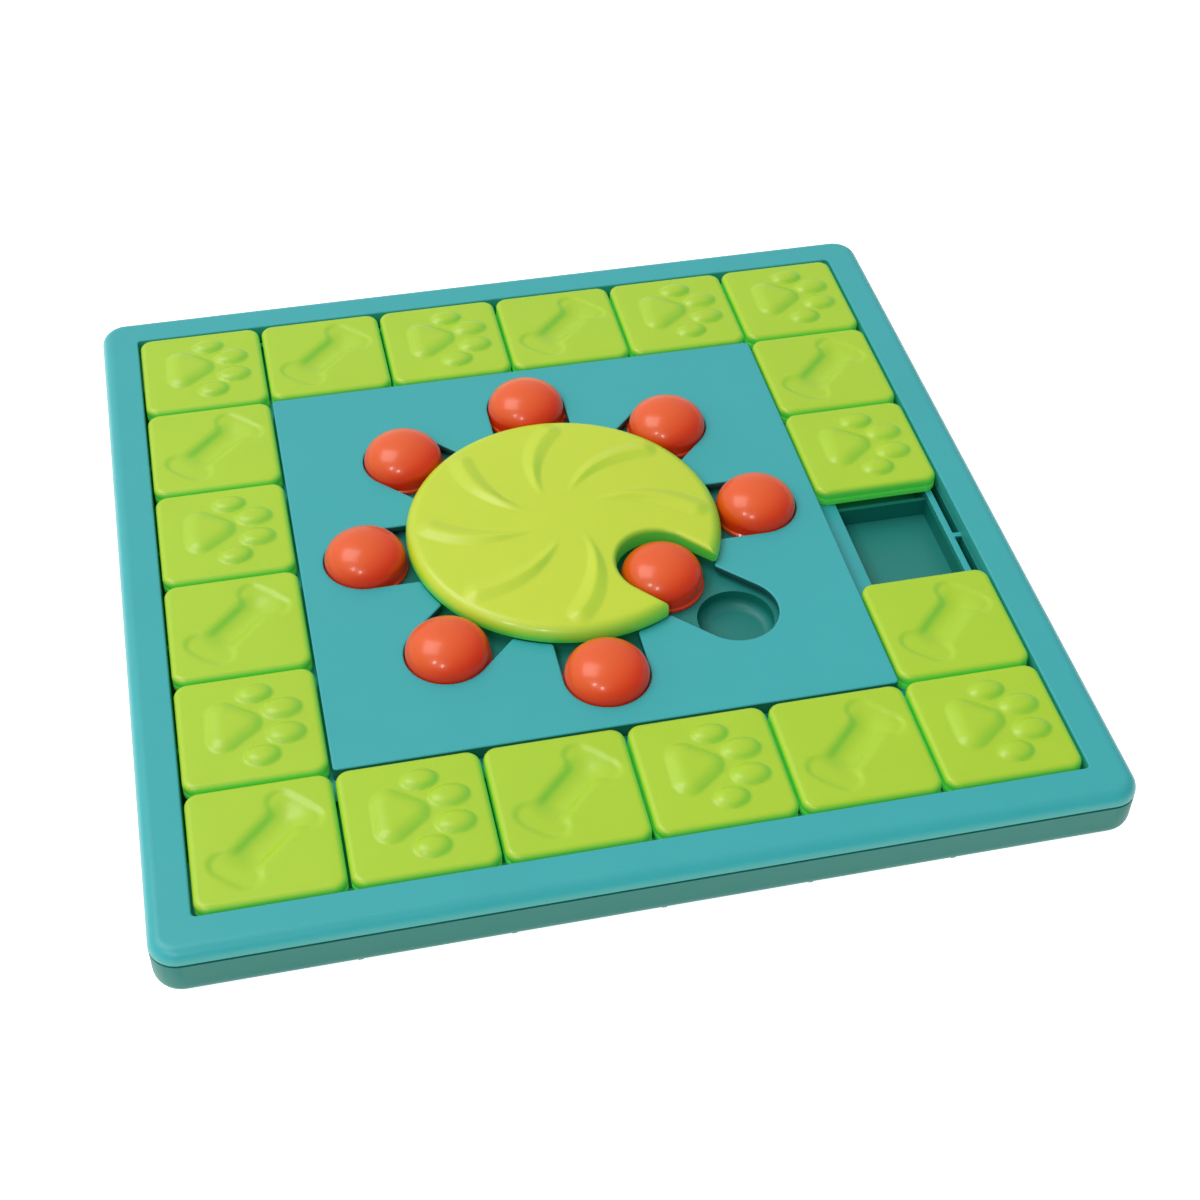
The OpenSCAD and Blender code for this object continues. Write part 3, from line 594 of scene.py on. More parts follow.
class Skin:
    """Vertices and faces of one piece, added loop by loop."""

    def __init__(self):
        self.points = []
        self.faces = []

    def loop(self, flat, height):
        """Adds a loop of flat points at a height or heights, and returns its indices."""
        first = len(self.points)
        heights = np.broadcast_to(height, len(flat))
        self.points += np.column_stack([flat, heights]).tolist()
        return np.arange(first, len(self.points))

    def rounding(self, outline, height, radius, turns):
        """Loops of a rounded edge between a face at a height and the outline, one per angle."""
        return [self.loop(outline.inset(radius * (1 - math.cos(turn))),
                          height - radius * (1 - math.sin(turn))) for turn in turns]

    def lip(self, outline, height, radius):
        """Loops from a face at a height over a small rounded edge."""
        return [self.loop(outline.inset(radius * LIP_MARGIN), height),
                *self.rounding(outline, height, radius, quarter(4, falling=True))]

    def steps(self, outline, profile):
        """Loops at pairs of an inset and a height."""
        return [self.loop(outline.inset(inset), z) for inset, z in profile]

    def band(self, one, other):
        """Joins two loops of the same length."""
        self.faces += np.column_stack([one, np.roll(one, -1), np.roll(other, -1), other]).tolist()

    def bands(self, loops, closed=False):
        """Joins each loop to the next one."""
        for one, other in zip(loops, loops[1:] + loops[:1] if closed else loops[1:]):
            self.band(one, other)

    def lid(self, loop):
        """Closes a flat loop with one face."""
        self.faces.append(loop.tolist())

    def fill(self, loops, inner=None):
        """Closes the area between loops with triangles, which also run through inner vertices."""
        ids = np.concatenate(loops)
        rims = [np.array([self.points[n][:2] for n in loop]) for loop in loops]
        flat = np.vstack(rims)
        edges = []
        first = 0
        for loop in loops:
            around = np.arange(first, first + len(loop))
            edges += np.column_stack([around, np.roll(around, -1)]).tolist()
            first += len(loop)
        if inner is not None:
            ids = np.concatenate([ids, inner])
            flat = np.vstack([flat, [self.points[n][:2] for n in inner]])
        corners, _, triangles, origin, _, _ = delaunay_2d_cdt(
            [Vector(point) for point in flat], edges, [], INSIDE_ONLY, POINT_GAP)
        triangles = np.array(triangles)
        corners = np.array([tuple(corner) for corner in corners])
        kept = triangles[inside(corners[triangles].mean(axis=1), rims)]
        known = np.array([ids[names[0]] for names in origin])
        self.faces += known[kept].tolist()

    def rounded_face(self, loop, outline, height, insets, spacing):
        """Closes a loop with a face whose height is a function of place and distance from the
        edge, with rows of points at the given distances from the edge and a grid inside."""
        rows = [outline.inset(step) for step in insets]
        low, high = outline.points.min(axis=0), outline.points.max(axis=0)
        across = np.arange(low[0], high[0], spacing)
        rows += [np.column_stack([across + (n % 2) * spacing / 2, np.full(len(across), y)])
                 for n, y in enumerate(np.arange(low[1], high[1], spacing * math.sqrt(3) / 2))]
        grid_from = insets[-1] + spacing * 0.4
        least = np.concatenate([
            np.full(len(row), step) for row, step in zip(rows, insets + (grid_from,) * len(rows))])
        slack = 0.001 * least + 0.004 * MM
        flat = np.vstack(rows)
        depth = edge_distance(flat, outline.points)
        kept = (depth > least - slack) & inside(flat, [outline.points])
        flat, depth = flat[kept], depth[kept]
        self.fill([loop], self.loop(flat, height(flat, depth)))

    def plate(self, outlines, low, high, edge, steps):
        """A plate between outlines, with rounded upper edges."""
        rims, soles = [], []
        for outline in outlines:
            loops = [self.loop(outline.points, low)]
            loops += self.rounding(outline, high, edge, quarter(steps))
            loops.append(self.loop(outline.inset(edge * PLATE_MARGIN), high))
            self.bands(loops)
            rims.append(loops[-1])
            soles.append(loops[0])
        self.fill(rims)
        self.fill(soles)

    def ringed_face(self, rim, count, height):
        """Closes a rim with a face of rings of quads round its middle, whose height is a function
        of place, and returns its outermost loop. The rim starts at a corner of a square, with 8
        points for each ring."""
        rings = [self.loop(np.zeros((1, 2)), height(np.zeros((1, 2))))]
        for ring in range(1, count + 1):
            marks = np.arange(8 * ring) * (count / ring)
            before = marks.astype(int)
            part = (marks - before)[:, None]
            flat = (rim[before] * (1 - part) + rim[(before + 1) % len(rim)] * part) * ring / count
            rings.append(self.loop(flat, height(flat)))
        for side in range(4):
            corners = [2 * side, 2 * side + 1, (2 * side + 2) % 8]
            self.faces.append([*rings[1][corners], rings[0][0]])
        for ring in range(2, count + 1):
            outer, inner = rings[ring], rings[ring - 1]
            for side in range(4):
                first, inner_first = 2 * ring * side, 2 * (ring - 1) * side
                self.faces.append([outer[first - 1], outer[first], outer[first + 1],
                                   inner[inner_first]])
                for step in range(1, 2 * ring - 1):
                    n = inner_first + step
                    self.faces.append([outer[first + step], outer[first + step + 1],
                                       inner[n % len(inner)], inner[n - 1]])
        return rings[-1]

    def move(self, place):
        """Moves all the points so far across the board."""
        self.points = [[x + place.x, y + place.y, z] for x, y, z in self.points]

    def turning(self, profile, angles):
        """Loops of a turned shape, where a profile's radius may be a function of the angle."""
        around = np.column_stack([np.cos(angles), np.sin(angles)])
        loops = []
        for radius, z in profile:
            reach = radius(angles) if callable(radius) else np.full(len(angles), radius)
            loops.append(self.loop(around * reach[:, None], z))
        return loops


CREASE_ANGLE = math.radians(35)
SAME_POINT = 0.0001 * MM
WELD_GAP = 0.002 * MM
FLAT_ANGLE = math.radians(0.6)
EDGE_ANGLE = math.radians(40)


def piece(name, skin, material, body, replaced):
    """A mesh object that rides on a body and stands for CAD nodes."""
    mesh = bpy.data.meshes.new(name)
    mesh.from_pydata(skin.points, [], skin.faces)
    work = bmesh.new()
    work.from_mesh(mesh)
    bmesh.ops.remove_doubles(work, verts=work.verts, dist=SAME_POINT)
    bmesh.ops.recalc_face_normals(work, faces=work.faces)
    work.to_mesh(mesh)
    work.free()
    mesh.shade_smooth()
    mesh.set_sharp_from_angle(angle=CREASE_ANGLE)
    mesh.materials.append(finish_of(material))
    made = bpy.data.objects.new(name, mesh)
    bpy.context.scene.collection.objects.link(made)
    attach(made, body)
    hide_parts(*replaced)


def dress(node, material, bevel=0.0):
    """A new material on a CAD node, and rounded edges."""
    shown = frame["nodes"][node]
    for slot in shown.material_slots:
        slot.material = finish_of(material)
    if not shown.material_slots:
        shown.data.materials.append(finish_of(material))
    if bevel:
        weld = shown.modifiers.new("weld", "WELD")
        weld.merge_threshold = WELD_GAP
        flat = shown.modifiers.new("flatten", "DECIMATE")
        flat.decimate_type = "DISSOLVE"
        flat.angle_limit = FLAT_ANGLE
        soft = shown.modifiers.new("bevel", "BEVEL")
        soft.width, soft.segments = bevel, 2
        soft.limit_method, soft.angle_limit = "ANGLE", EDGE_ANGLE
        soft.use_clamp_overlap = True
        soft.harden_normals = True


def smooth_step(value):
    value = np.clip(value, 0, 1)
    return value * value * (3 - 2 * value)


def eased(value, softness):
    """A slope from 0 to 1 with a rounded start."""
    return (np.hypot(value, softness) - softness) / (math.hypot(1, softness) - softness)


def fillet(depth, radius):
    """How far a rounded edge lies below its face at a distance from the edge."""
    return radius * (1 - np.sqrt(1 - (1 - np.clip(depth / radius, 0, 1)) ** 2))


def soft_min(one, other, blend):
    """The smaller of two distances, rounded where they meet."""
    mix = np.clip(0.5 + 0.5 * (other - one) / blend, 0, 1)
    return other * (1 - mix) + one * mix - blend * mix * (1 - mix)


# ---------------------------------------------------------------- reliefs on the blocks

# Toes of a paw that points along +X, as places in shares of a block and half widths in millimetres
TOES = [((0.06, 0.3), (7.8, 5.4)), ((0.238, 0.124), (8.6, 6.0)), ((0.245, -0.112), (8.4, 5.9)),
        ((0.064, -0.286), (7.6, 5.6))]
# Middles of the pad's three rounded corners, as shares of a block
PAD_CORNERS = [(-0.18, 0.141), (-0.187, -0.098), (-0.026, 0.025)]
PAD_RADIUS = 7.0 * MM
# How steeply the toes and the pad rise at their edges, where 1 is a cone
TOE_FULLNESS = 3.2
PAD_FULLNESS = 2.2


def signed_distance(flat, corners):
    """Distance outside a polygon, or less than 0 inside it."""
    apart = edge_distance(flat, corners)
    return np.where(inside(flat, [corners]), -apart, apart)


def paw(flat, size, look):
    """Height of a raised paw over a block's face."""
    height = np.zeros(len(flat))
    for (x, y), (long, wide) in TOES:
        reach = np.array([long, wide]) * MM
        out = np.linalg.norm((flat - np.array([x, y]) * size) / reach, axis=1)
        height = np.maximum(height, 1 - np.clip(out, 0, 1) ** TOE_FULLNESS)
    pad = signed_distance(flat, np.array(PAD_CORNERS) * size) - PAD_RADIUS
    inner = np.clip(-pad / look.pad_slope, 0, 1)
    height = np.maximum(height, 1 - (1 - inner) ** PAD_FULLNESS)
    return height * look.paw_height


# Knuckles of the bone along and across its length, in millimetres, then its shaft and the deeper
# scoop in the shaft, which fades out over a stretch at both ends
KNUCKLES = [(-18, 5.9), (-17.6, -6.4), (18.3, 6.9), (18.3, -7.3)]
KNUCKLE_RADIUS = 7.0 * MM
SHAFT_HALF = 7.3 * MM
BONE_BLEND = 4 * MM
SCOOP_HALF = 9.3 * MM
SCOOP_MIDDLE = 3 * MM
SCOOP_REACH = 21 * MM
SCOOP_FADE = 12 * MM
SCOOP_SHARPNESS = 1.6


def bone(flat, size, look):
    """Height of a sunk bone over a block's face, deepest in its shaft."""
    along = (flat[:, 0] + flat[:, 1]) / math.sqrt(2)
    across = (flat[:, 1] - flat[:, 0]) / math.sqrt(2)
    ends = [KNUCKLES[0][0] * MM, KNUCKLES[2][0] * MM]
    whole = np.hypot(along - np.clip(along, *ends), across) - SHAFT_HALF
    for u, v in KNUCKLES:
        knuckle = np.hypot(along - u * MM, across - v * MM) - KNUCKLE_RADIUS
        whole = soft_min(whole, knuckle, BONE_BLEND)
    sunk = look.bone_depth * smooth_step(-whole / look.bone_slope)
    hollow = np.clip(1 - (across / SCOOP_HALF) ** 2, 0, 1) ** SCOOP_SHARPNESS
    fade = smooth_step((SCOOP_REACH - np.abs(along - SCOOP_MIDDLE)) / SCOOP_FADE)
    return -sunk - look.bone_scoop * hollow * fade


# How level a block's face stays round its middle, where 2 is an even bulge
CROWN_POWER = 4


def block_skin(node, relief, look):
    """A block: a face with its relief, rounded edges, a groove all round and a hollow underside."""
    skin = Skin()
    low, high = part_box(node)
    half = (high.x - low.x) / 2
    face = SURFACE + BLOCK_RISE
    corner_steps = 18
    outline = rounded_square(half, look.corner, corner_steps, 2 * look.cells - corner_steps)

    def face_height(flat):
        out = np.clip(np.abs(flat).max(axis=1) / half, 0, 1)
        return face - look.crown * out ** CROWN_POWER + relief(flat, 2 * half, look)

    loops = [skin.ringed_face(outline.inset(look.edge), look.cells, face_height)]
    loops += skin.rounding(outline, face - look.crown, look.edge, quarter(6, falling=True)[1:])
    soft = 0.25 * MM
    wall = look.wall + look.groove_depth
    groove_top = face - look.groove_drop
    groove_low = groove_top - look.groove_height
    loops += skin.steps(outline, [
        *softened(groove_top, soft, 1, back=True),
        (look.groove_depth, groove_top), (look.groove_depth, groove_low),
        *softened(groove_low, soft, -1),
        *softened(low.z, soft, 1, back=True),
        (wall, low.z), (wall, face - wall - look.bone_depth),
    ])
    skin.bands(loops)
    skin.lid(loops[-1])
    skin.move(middle(node))
    return skin


# ---------------------------------------------------------------- outlines of the disc and panel

def disc_outline(look, knobs):
    """The disc's rim with its notch, which opens along the eighth knob's direction."""
    half = knobs.dome + look.notch_clearance
    corner = look.notch_corner
    place = middle("knob_8")
    inner = math.hypot(place.x, place.y) - look.notch_clearance
    mouth = math.sqrt((DISC_R - corner) ** 2 - (half + corner) ** 2)
    tangent = math.degrees(math.atan2(half + corner, mouth))
    step = 0.9 * MM
    outline = joined(
        arc((0, 0), DISC_R, tangent, 360 - tangent, step),
        arc((mouth, -half - corner), corner, -tangent, 90, step * 0.6),
        line((mouth, -half), (inner, -half), step),
        arc((inner, 0), half, 270, 90, step),
        line((inner, half), (mouth, half), step),
        arc((mouth, half + corner), corner, -90, tangent, step * 0.6),
    )
    return outline.turned(math.atan2(place.y, place.x))


def panel_opening(shells, knobs):
    """Well under the disc with the eight radial slots, as the panel's inner boundary."""
    half = knobs.dome + shells.knob_gap
    well = DISC_R - shells.well_cover
    corner = 1.5 * MM
    reach = math.sqrt((well + corner) ** 2 - (half + corner) ** 2)
    tangent = math.degrees(math.atan2(half + corner, reach))
    step = 1.4 * MM
    stretches = []
    for n in range(8):
        turn = math.radians(-45 * n)
        part = joined(
            arc((reach, half + corner), corner, 180 + tangent, 270, step * 0.5),
            line((reach, half), (KNOB_OUT, half), step * 3),
            arc((KNOB_OUT, 0), half, 90, -90, step),
            line((KNOB_OUT, -half), (reach, -half), step * 3),
            arc((reach, -half - corner), corner, 90, 180 - tangent, step * 0.5),
            arc((0, 0), well, -tangent, -45 + tangent, step),
        )
        part = part.turned(turn)
        stretches.append((part.points, part.normals))
    return joined(*stretches)


# How much a ridge's crest and foot are rounded, its inner end's share of its full width, and how
# soon it is at its full width and height, where 1 is only at its outer end
RIDGE_CREST, RIDGE_FOOT = 0.16, 0.12
RIDGE_NARROWEST = 0.3
RIDGE_WIDENING, RIDGE_CLIMB = 1.15, 2.2


def ridges(flat, look):
    """Height of the disc's ridges: low roofs with rounded crests, along arcs that start near the
    middle and bend clockwise."""
    height = np.zeros(len(flat))
    notch = middle("knob_8")
    arc_r, sweep, tilt = look.ridge_arc, look.ridge_sweep, look.ridge_tilt
    centre = np.array([look.ridge_from - arc_r * math.sin(tilt), -arc_r * math.cos(tilt)])
    last = math.pi / 2 - tilt - sweep
    end = centre + arc_r * np.array([math.cos(last), math.sin(last)])
    narrowest = RIDGE_NARROWEST
    for n in range(look.ridge_count):
        start = look.ridge_phase + n * 2 * math.pi / look.ridge_count
        lag = start - tilt / 2 - sweep / 6 - math.atan2(notch.y, notch.x)
        if abs((lag + math.pi) % (2 * math.pi) - math.pi) < math.pi / look.ridge_count:
            continue
        cos, sin = math.cos(start), math.sin(start)
        x = flat[:, 0] * cos + flat[:, 1] * sin
        y = flat[:, 1] * cos - flat[:, 0] * sin
        along = (math.pi / 2 - tilt - np.arctan2(y - centre[1], x - centre[0])) / sweep
        apart = np.where(along < 1, np.abs(np.hypot(x - centre[0], y - centre[1]) - arc_r),
                         np.hypot(x - end[0], y - end[1]))
        wide = smooth_step(along * RIDGE_WIDENING)
        width = look.ridge_width * (narrowest + (1 - narrowest) * wide)
        roof = eased(np.clip(1 - eased(apart / width, RIDGE_CREST), 0, 1), RIDGE_FOOT)
        rise = smooth_step(along * RIDGE_CLIMB)
        height = np.maximum(height, np.where((along > 0) & (along < 2), rise * roof, 0))
    return height * look.ridge_height


# ---------------------------------------------------------------- operators

# Distances in millimetres of the mesh rows beside the disc's edge
EDGE_ROWS = (0.03, 0.1, 0.2, 0.33, 0.5, 0.7, 0.93, 1.18, 1.45, 1.8, 2.2, 2.7, 3.25)
# How far the hub reaches up into the disc, and the mesh steps round it
HUB_OVERLAP = 1 * MM
HUB_STEPS = 96
# Angles in degrees up a knob's dome and back down its hollow, which both end in a small flat lid
DOME_ANGLES = np.linspace(0, 88.5, 28)
HOLLOW_ANGLES = np.linspace(88, 0, 14)
DOME_FULLNESS = 0.96


class OBJECT_OT_puzzle_base(bpy.types.Operator):
    """Finish the base with its compartments and cups"""

    bl_idname = "object.puzzle_base"
    bl_label = "Base"

    def execute(self, context):
        dress("base_shell", "deep_teal_plastic", 0.35 * MM)
        for node in ("base_deck", "base_cups", "base_walls"):
            dress(node, "deep_teal_plastic")
        return {"FINISHED"}


class OBJECT_OT_puzzle_frame(bpy.types.Operator):
    """Build the outer frame with the outer ledge"""

    bl_idname = "object.puzzle_frame"
    bl_label = "Outer Frame"

    def execute(self, context):
        shells = context.scene.puzzle_shells
        skin = Skin()
        outer = rounded_square(BOARD_HALF, shells.frame_corner)
        opening_half = 3 * PITCH + shells.side_clearance
        opening = rounded_square(opening_half, shells.opening_corner).flipped()
        low = bottom("outer_frame")
        joint, wall, edge, lip = shells.joint_height, shells.wall, shells.frame_edge, shells.lip
        soft = 0.2 * MM
        loops = skin.steps(outer, [(soft, joint), (0, joint + soft)])
        loops += skin.rounding(outer, SURFACE, edge, quarter(10))
        loops += skin.steps(outer, [(edge * FRAME_MARGIN, SURFACE)])
        loops += skin.lip(opening, SURFACE, lip)
        loops += skin.steps(opening, [(0, low), (wall, low), (wall, SURFACE - wall)])
        loops += skin.steps(outer, [(edge, SURFACE - wall), (wall, SURFACE - edge), (wall, joint)])
        skin.bands(loops, closed=True)
        self.ledge(skin, shells, opening_half, low, low + shells.ledge)
        piece("frame_shell", skin, "teal_plastic", "root", ["outer_frame"])
        return {"FINISHED"}

    def ledge(self, skin, shells, opening_half, low, high):
        """The ledge that the blocks ride on, with its slots"""
        inner_half = opening_half - shells.ledge_width
        wall_gap = 0.05 * MM
        near, far = inner_half + shells.ledge_strip, opening_half - wall_gap
        square = rounded_square(opening_half + shells.wall / 2, shells.opening_corner, 4, 40)
        hole = rounded_square(inner_half, shells.opening_corner / 2, 8, 60)
        outlines = [square, hole.flipped()]
        half_slot = (PITCH - shells.slot_rib) / 2
        corner, fine, coarse = 0.5 * MM, 0.3 * MM, 3 * MM
        for side in range(4):
            for place in range(-2, 3):
                low_y, high_y = place * PITCH - half_slot, place * PITCH + half_slot
                slot = joined(
                    arc((near + corner, low_y + corner), corner, 270, 180, fine),
                    line((near, low_y + corner), (near, high_y - corner), coarse),
                    arc((near + corner, high_y - corner), corner, 180, 90, fine),
                    line((near + corner, high_y), (far, high_y), coarse),
                    line((far, high_y), (far, low_y), coarse),
                    line((far, low_y), (near + corner, low_y), coarse),
                )
                outlines.append(slot.turned(math.radians(90 * side)))
        skin.plate(outlines, low, high, 0.3 * MM, 3)


class OBJECT_OT_puzzle_panel(bpy.types.Operator):
    """Build the centre panel with its eight slots and the inner ledge"""

    bl_idname = "object.puzzle_panel"
    bl_label = "Centre Panel"

    def execute(self, context):
        shells, knobs = context.scene.puzzle_shells, context.scene.puzzle_knobs
        skin = Skin()
        half = 2 * PITCH - shells.side_clearance
        low, wall, lip = bottom("centre_panel"), shells.wall, shells.lip
        ledge_top = low + shells.ledge
        outer = rounded_square(half, 1.8 * MM)
        ledge = rounded_square(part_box("centre_panel")[1].x, 1.2 * MM)
        skirt = rounded_square(half - wall, 0.6 * MM)
        slots = panel_opening(shells, knobs)
        hollow = 0.6 * MM
        loops = skin.lip(outer, SURFACE, lip)
        loops += skin.rounding(outer, ledge_top, -hollow, quarter(3))
        loops += skin.steps(ledge, [*softened(ledge_top, 0.4 * MM, -1), (0, low)])
        loops += skin.steps(skirt, [(0, low), (0, SURFACE - shells.panel)])
        skin.bands(loops)
        edges = skin.lip(slots, SURFACE, lip)
        edges += skin.steps(slots, [(0, SURFACE - shells.panel)])
        skin.bands(edges)
        skin.fill([loops[0], edges[0]])
        skin.fill([loops[-1], edges[-1]])
        piece("panel_shell", skin, "panel_plastic", "root", ["centre_panel"])
        return {"FINISHED"}


class OBJECT_OT_puzzle_disc(bpy.types.Operator):
    """Build the turning disc with its ridges, notch and hub"""

    bl_idname = "object.puzzle_disc"
    bl_label = "Disc"

    def execute(self, context):
        look, knobs = context.scene.puzzle_disc, context.scene.puzzle_knobs
        skin = Skin()
        floor = SURFACE + look.gap

        def face(flat, depth):
            out = np.linalg.norm(flat, axis=1)
            crown = look.crown * (1 - (out / DISC_R) ** 2)
            drop = np.maximum(fillet(DISC_R - out, look.edge), fillet(depth, look.notch_edge))
            return SURFACE + look.edge_rise + crown + ridges(flat, look) - drop

        outline = disc_outline(look, knobs)
        rim_height = face(outline.points, np.zeros(len(outline.points)))
        loops = skin.steps(outline, [*softened(floor, 0.4 * MM, 1), (0, rim_height)])
        skin.bands(loops)
        skin.fill([loops[0]])
        insets = tuple(row * MM for row in EDGE_ROWS)
        skin.rounded_face(loops[-1], outline, face, insets, 0.8 * MM)
        hub_top, hub_low = floor + HUB_OVERLAP, bottom("knob_1")
        loops = skin.turning([(look.hub, hub_top), (look.hub, hub_low), (look.journal, hub_low),
                              (look.journal, bottom("disc"))], circle(HUB_STEPS))
        skin.bands(loops)
        skin.lid(loops[0])
        skin.lid(loops[-1])
        piece("disc_wheel", skin, "disc_plastic", "disc", ["disc"])
        return {"FINISHED"}


class OBJECT_OT_puzzle_knobs(bpy.types.Operator):
    """Build the eight domed knobs"""

    bl_idname = "object.puzzle_knobs"
    bl_label = "Knobs"

    def execute(self, context):
        look = context.scene.puzzle_knobs
        for node in nodes_named("knob_"):
            self.knob(node, look)
        return {"FINISHED"}

    def knob(self, node, look):
        """One knob at its place, with an ear on each side of its way along the slot"""
        low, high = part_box(node)
        centre = middle(node)
        turn = math.atan2(centre.y, centre.x)
        half = look.ear_width / 2
        ears = [math.acos(half / out) for out in (look.brim, look.ear_reach)]
        marks = [side * ear + back for ear in ears for side in (-1, 1) for back in (0, math.pi)]
        angles = turn + np.unique(np.round(np.concatenate([
            circle(look.steps), np.mod(marks, 2 * math.pi)]), 6))

        def reach(inset):
            def radius(direction):
                side = np.abs(np.cos(direction - turn))
                ear = np.minimum(look.ear_reach, half / np.maximum(side, 1e-6))
                return np.maximum(look.brim, ear) - inset
            return radius

        soft, blend = 0.3 * MM, 0.35 * MM
        brim_top = low.z + look.brim_height
        inner = look.dome - look.wall
        rise = high.z - SURFACE
        profile = [(reach(soft), low.z), (reach(0), low.z + soft), (reach(0), brim_top - soft),
                   (reach(soft), brim_top), (look.dome + blend, brim_top),
                   (look.dome, brim_top + blend)]
        profile += [(look.dome * math.cos(a) ** DOME_FULLNESS, SURFACE + rise * math.sin(a))
                    for a in np.radians(DOME_ANGLES)]
        inside_profile = [(inner * math.cos(a), SURFACE + (rise - look.wall) * math.sin(a))
                          for a in np.radians(HOLLOW_ANGLES)]
        inside_profile += [(inner, low.z + soft), (inner + soft, low.z)]
        skin = Skin()
        outside = skin.turning(profile, angles)
        hollow = skin.turning(inside_profile, angles)
        skin.bands(outside)
        skin.bands(hollow)
        skin.lid(outside[-1])
        skin.lid(hollow[0])
        skin.band(hollow[-1], outside[0])
        skin.move(centre)
        piece(f"{node}_dome", skin, "orange_plastic", BODY_OF[node], [node])


class OBJECT_OT_puzzle_blocks(bpy.types.Operator):
    """Build the nineteen sliding blocks with their reliefs"""

    bl_idname = "object.puzzle_blocks"
    bl_label = "Blocks"

    def execute(self, context):
        look = context.scene.puzzle_blocks
        for node in nodes_named("tile_cap_"):
            relief = bone if node in BONE_BLOCKS else paw
            name = f"{relief.__name__}_block_{node[-2:]}"
            piece(name, block_skin(node, relief, look), "lime_plastic", BODY_OF[node],
                  [node])
        return {"FINISHED"}


class OBJECT_OT_puzzle_hardware(bpy.types.Operator):
    """Finish the sliders, screws, washer and feet"""

    bl_idname = "object.puzzle_hardware"
    bl_label = "Hardware"

    def execute(self, context):
        for node in nodes_named("tile_slider_"):
            dress(node, "lime_plastic", 0.3 * MM)
        for node in ("frame_screws", "panel_screws", "disc_screw", "disc_washer"):
            dress(node, "zinc_steel", 0.15 * MM)
        dress("rubber_feet", "foot_rubber", 0.4 * MM)
        return {"FINISHED"}


# Name, direction from the puzzle, width and height in metres, and power in watts
SOFT_BOXES = (
    ("key_left", (-0.56, -0.38, 0.74), (0.16, 0.55), 20),
    ("key_right", (-0.33, -0.64, 0.69), (0.16, 0.55), 20),
    ("top_light", (-0.45, 0.28, 0.85), (2.2, 2.2), 58),
)
BOX_DISTANCE = 4
# Direction of the sky's brightest side, and how bright the side away from it is
SKY_WAY = (-0.45, 0.45, 0.77)
SKY_LEAST = 0.27
# In millimetres, as the lens is
SENSOR_WIDTH = 36


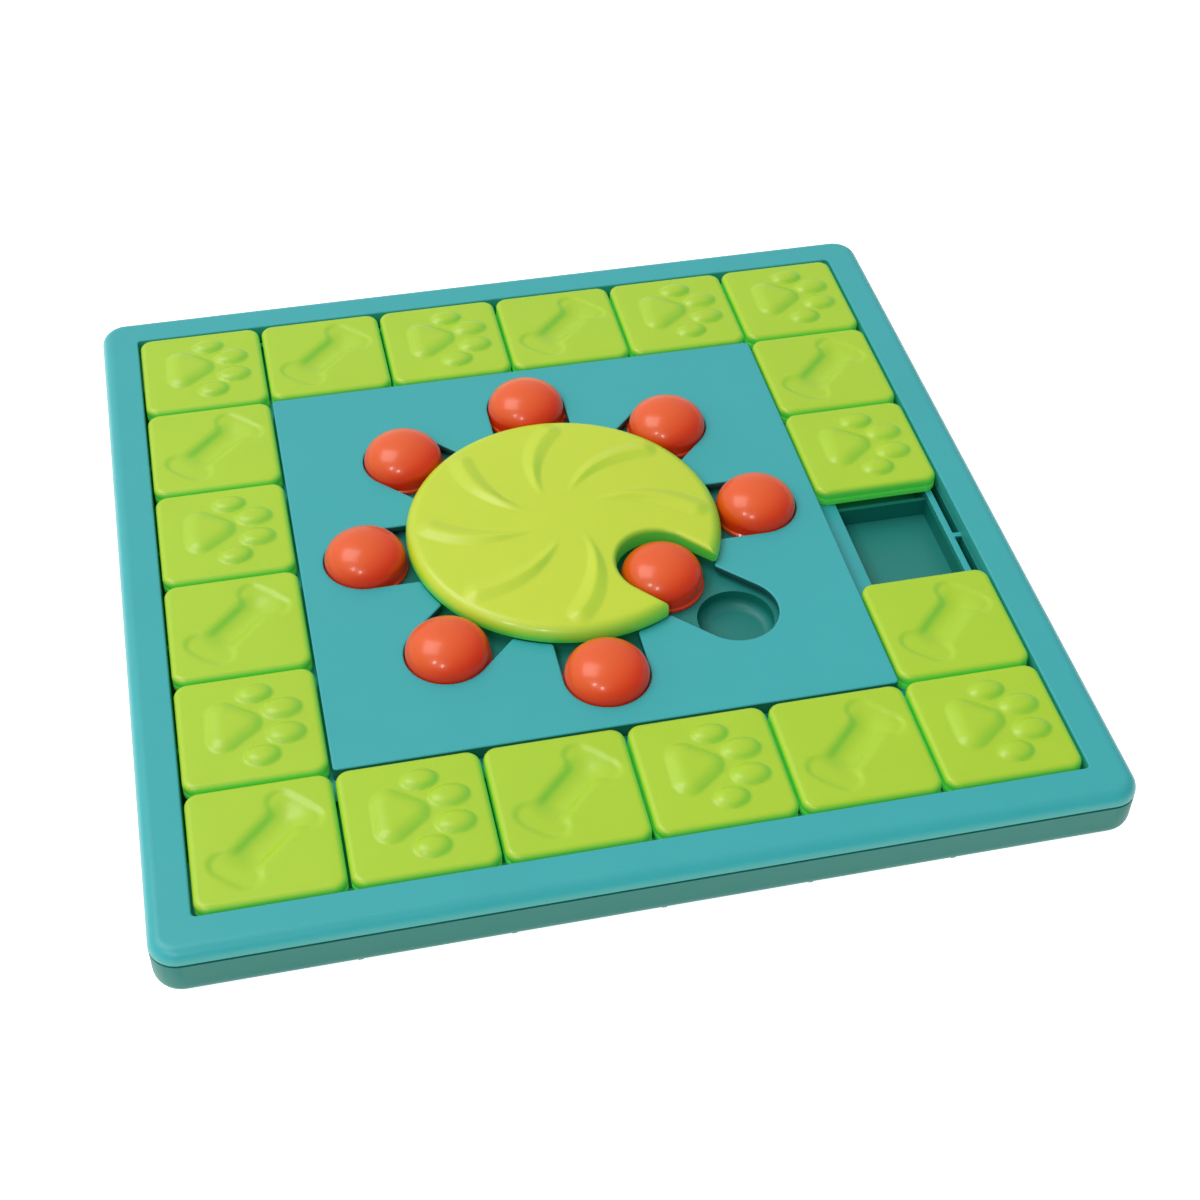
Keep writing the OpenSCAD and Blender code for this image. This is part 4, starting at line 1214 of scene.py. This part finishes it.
class SCENE_OT_puzzle_stage(bpy.types.Operator):
    """Set up the table, the soft boxes and the camera"""

    bl_idname = "scene.puzzle_stage"
    bl_label = "Stage"

    def execute(self, context):
        studio = context.scene.puzzle_studio
        self.table(studio)
        self.sky(studio)
        target = Vector(studio.target)
        for name, way, size, power in SOFT_BOXES:
            self.soft_box(name, target + Vector(way) * BOX_DISTANCE, target, *size, power)
        self.camera(studio, target)
        context.scene.view_settings.view_transform = "Standard"
        return {"FINISHED"}

    def table(self, studio):
        """A pale table top that runs far past the view"""
        mesh = bpy.data.meshes.new("table_top")
        reach = 6
        mesh.from_pydata([(-reach, -reach, 0), (reach, -reach, 0), (reach, reach, 0),
                          (-reach, reach, 0)], [], [(0, 1, 2, 3)])
        sheet = material_sheet("table_paint")
        cloud = sheet.noise(sheet.place(), 3, 2)
        mesh.materials.append(sheet.finish(
            Base_Color=sheet.between(cloud, tinted(studio.floor, 0.985), studio.floor),
            Roughness=0.6, Emission_Color=(*studio.floor, 1), Emission_Strength=0.9))
        table = bpy.data.objects.new("table_top", mesh)
        bpy.context.scene.collection.objects.link(table)

    def sky(self, studio):
        """White light from all sides, brightest from the upper left behind the puzzle"""
        sheet = Sheet(bpy.data.worlds.new("studio_sky"), "Background")
        way = sheet.node("ShaderNodeTexCoord", "Generated")
        greys = [(place, (shade, shade, shade, 1)) for place, shade in enumerate((SKY_LEAST, 1))]
        light = sheet.node("ShaderNodeValToRGB", "Color", {0: sheet.along(way, SKY_WAY)}, greys)
        bpy.context.scene.world = sheet.finish(Color=light, Strength=studio.sky)

    def soft_box(self, name, place, target, width, height, power):
        """An area light that faces a point"""
        light = bpy.data.lights.new(name, "AREA")
        light.shape = "RECTANGLE"
        light.size, light.size_y, light.energy = width, height, power
        made = bpy.data.objects.new(name, light)
        made.location = place
        made.rotation_euler = (target - Vector(place)).to_track_quat("-Z", "Y").to_euler()
        bpy.context.scene.collection.objects.link(made)

    def camera(self, studio, target):
        """The camera at its distance and direction from the target"""
        turn, rise, roll = studio.azimuth, studio.elevation, studio.roll
        level = Vector((math.cos(turn), math.sin(turn), 0))
        ahead = Vector((-math.sin(turn), math.cos(turn), 0))
        back = Vector((0, 0, 1)) * math.sin(rise) - ahead * math.cos(rise)
        right = level * math.cos(roll) + back.cross(level) * math.sin(roll)
        up = back.cross(right)
        data = bpy.data.cameras.new("view_camera")
        data.lens, data.sensor_width = studio.lens, SENSOR_WIDTH
        camera = bpy.data.objects.new("view_camera", data)
        axes = Matrix((right, up, back)).transposed().to_4x4()
        camera.matrix_world = Matrix.Translation(target + back * studio.distance) @ axes
        bpy.context.scene.collection.objects.link(camera)
        bpy.context.scene.camera = camera


class VIEW3D_PT_puzzle(bpy.types.Panel):
    """Lists the pieces of the treat puzzle"""

    bl_label = "Treat Puzzle"
    bl_idname = "VIEW3D_PT_puzzle"
    bl_space_type = "VIEW_3D"
    bl_region_type = "UI"
    bl_category = "Treat Puzzle"

    def draw(self, context):
        for operator in OPERATORS:
            self.layout.operator(operator.bl_idname)
        for name in GROUPS:
            group = getattr(context.scene, name)
            box = self.layout.box()
            for key in group.bl_rna.properties.keys():
                if key not in ("rna_type", "name"):
                    box.prop(group, key)


OPERATORS = (
    SCENE_OT_puzzle_stage,
    OBJECT_OT_puzzle_base,
    OBJECT_OT_puzzle_frame,
    OBJECT_OT_puzzle_panel,
    OBJECT_OT_puzzle_disc,
    OBJECT_OT_puzzle_knobs,
    OBJECT_OT_puzzle_blocks,
    OBJECT_OT_puzzle_hardware,
)


def register():
    for name, group in GROUPS.items():
        bpy.utils.register_class(group)
        setattr(bpy.types.Scene, name, PointerProperty(type=group))
    for made in (*OPERATORS, VIEW3D_PT_puzzle):
        bpy.utils.register_class(made)


def unregister():
    for made in reversed((*OPERATORS, VIEW3D_PT_puzzle)):
        bpy.utils.unregister_class(made)
    for name, group in GROUPS.items():
        delattr(bpy.types.Scene, name)
        bpy.utils.unregister_class(group)


def main():
    """Builds everything."""
    register()
    bpy.ops.scene.puzzle_stage()
    bpy.ops.object.puzzle_base()
    bpy.ops.object.puzzle_frame()
    bpy.ops.object.puzzle_panel()
    bpy.ops.object.puzzle_disc()
    bpy.ops.object.puzzle_knobs()
    bpy.ops.object.puzzle_blocks()
    bpy.ops.object.puzzle_hardware()


if __name__ == "__main__":
    main()
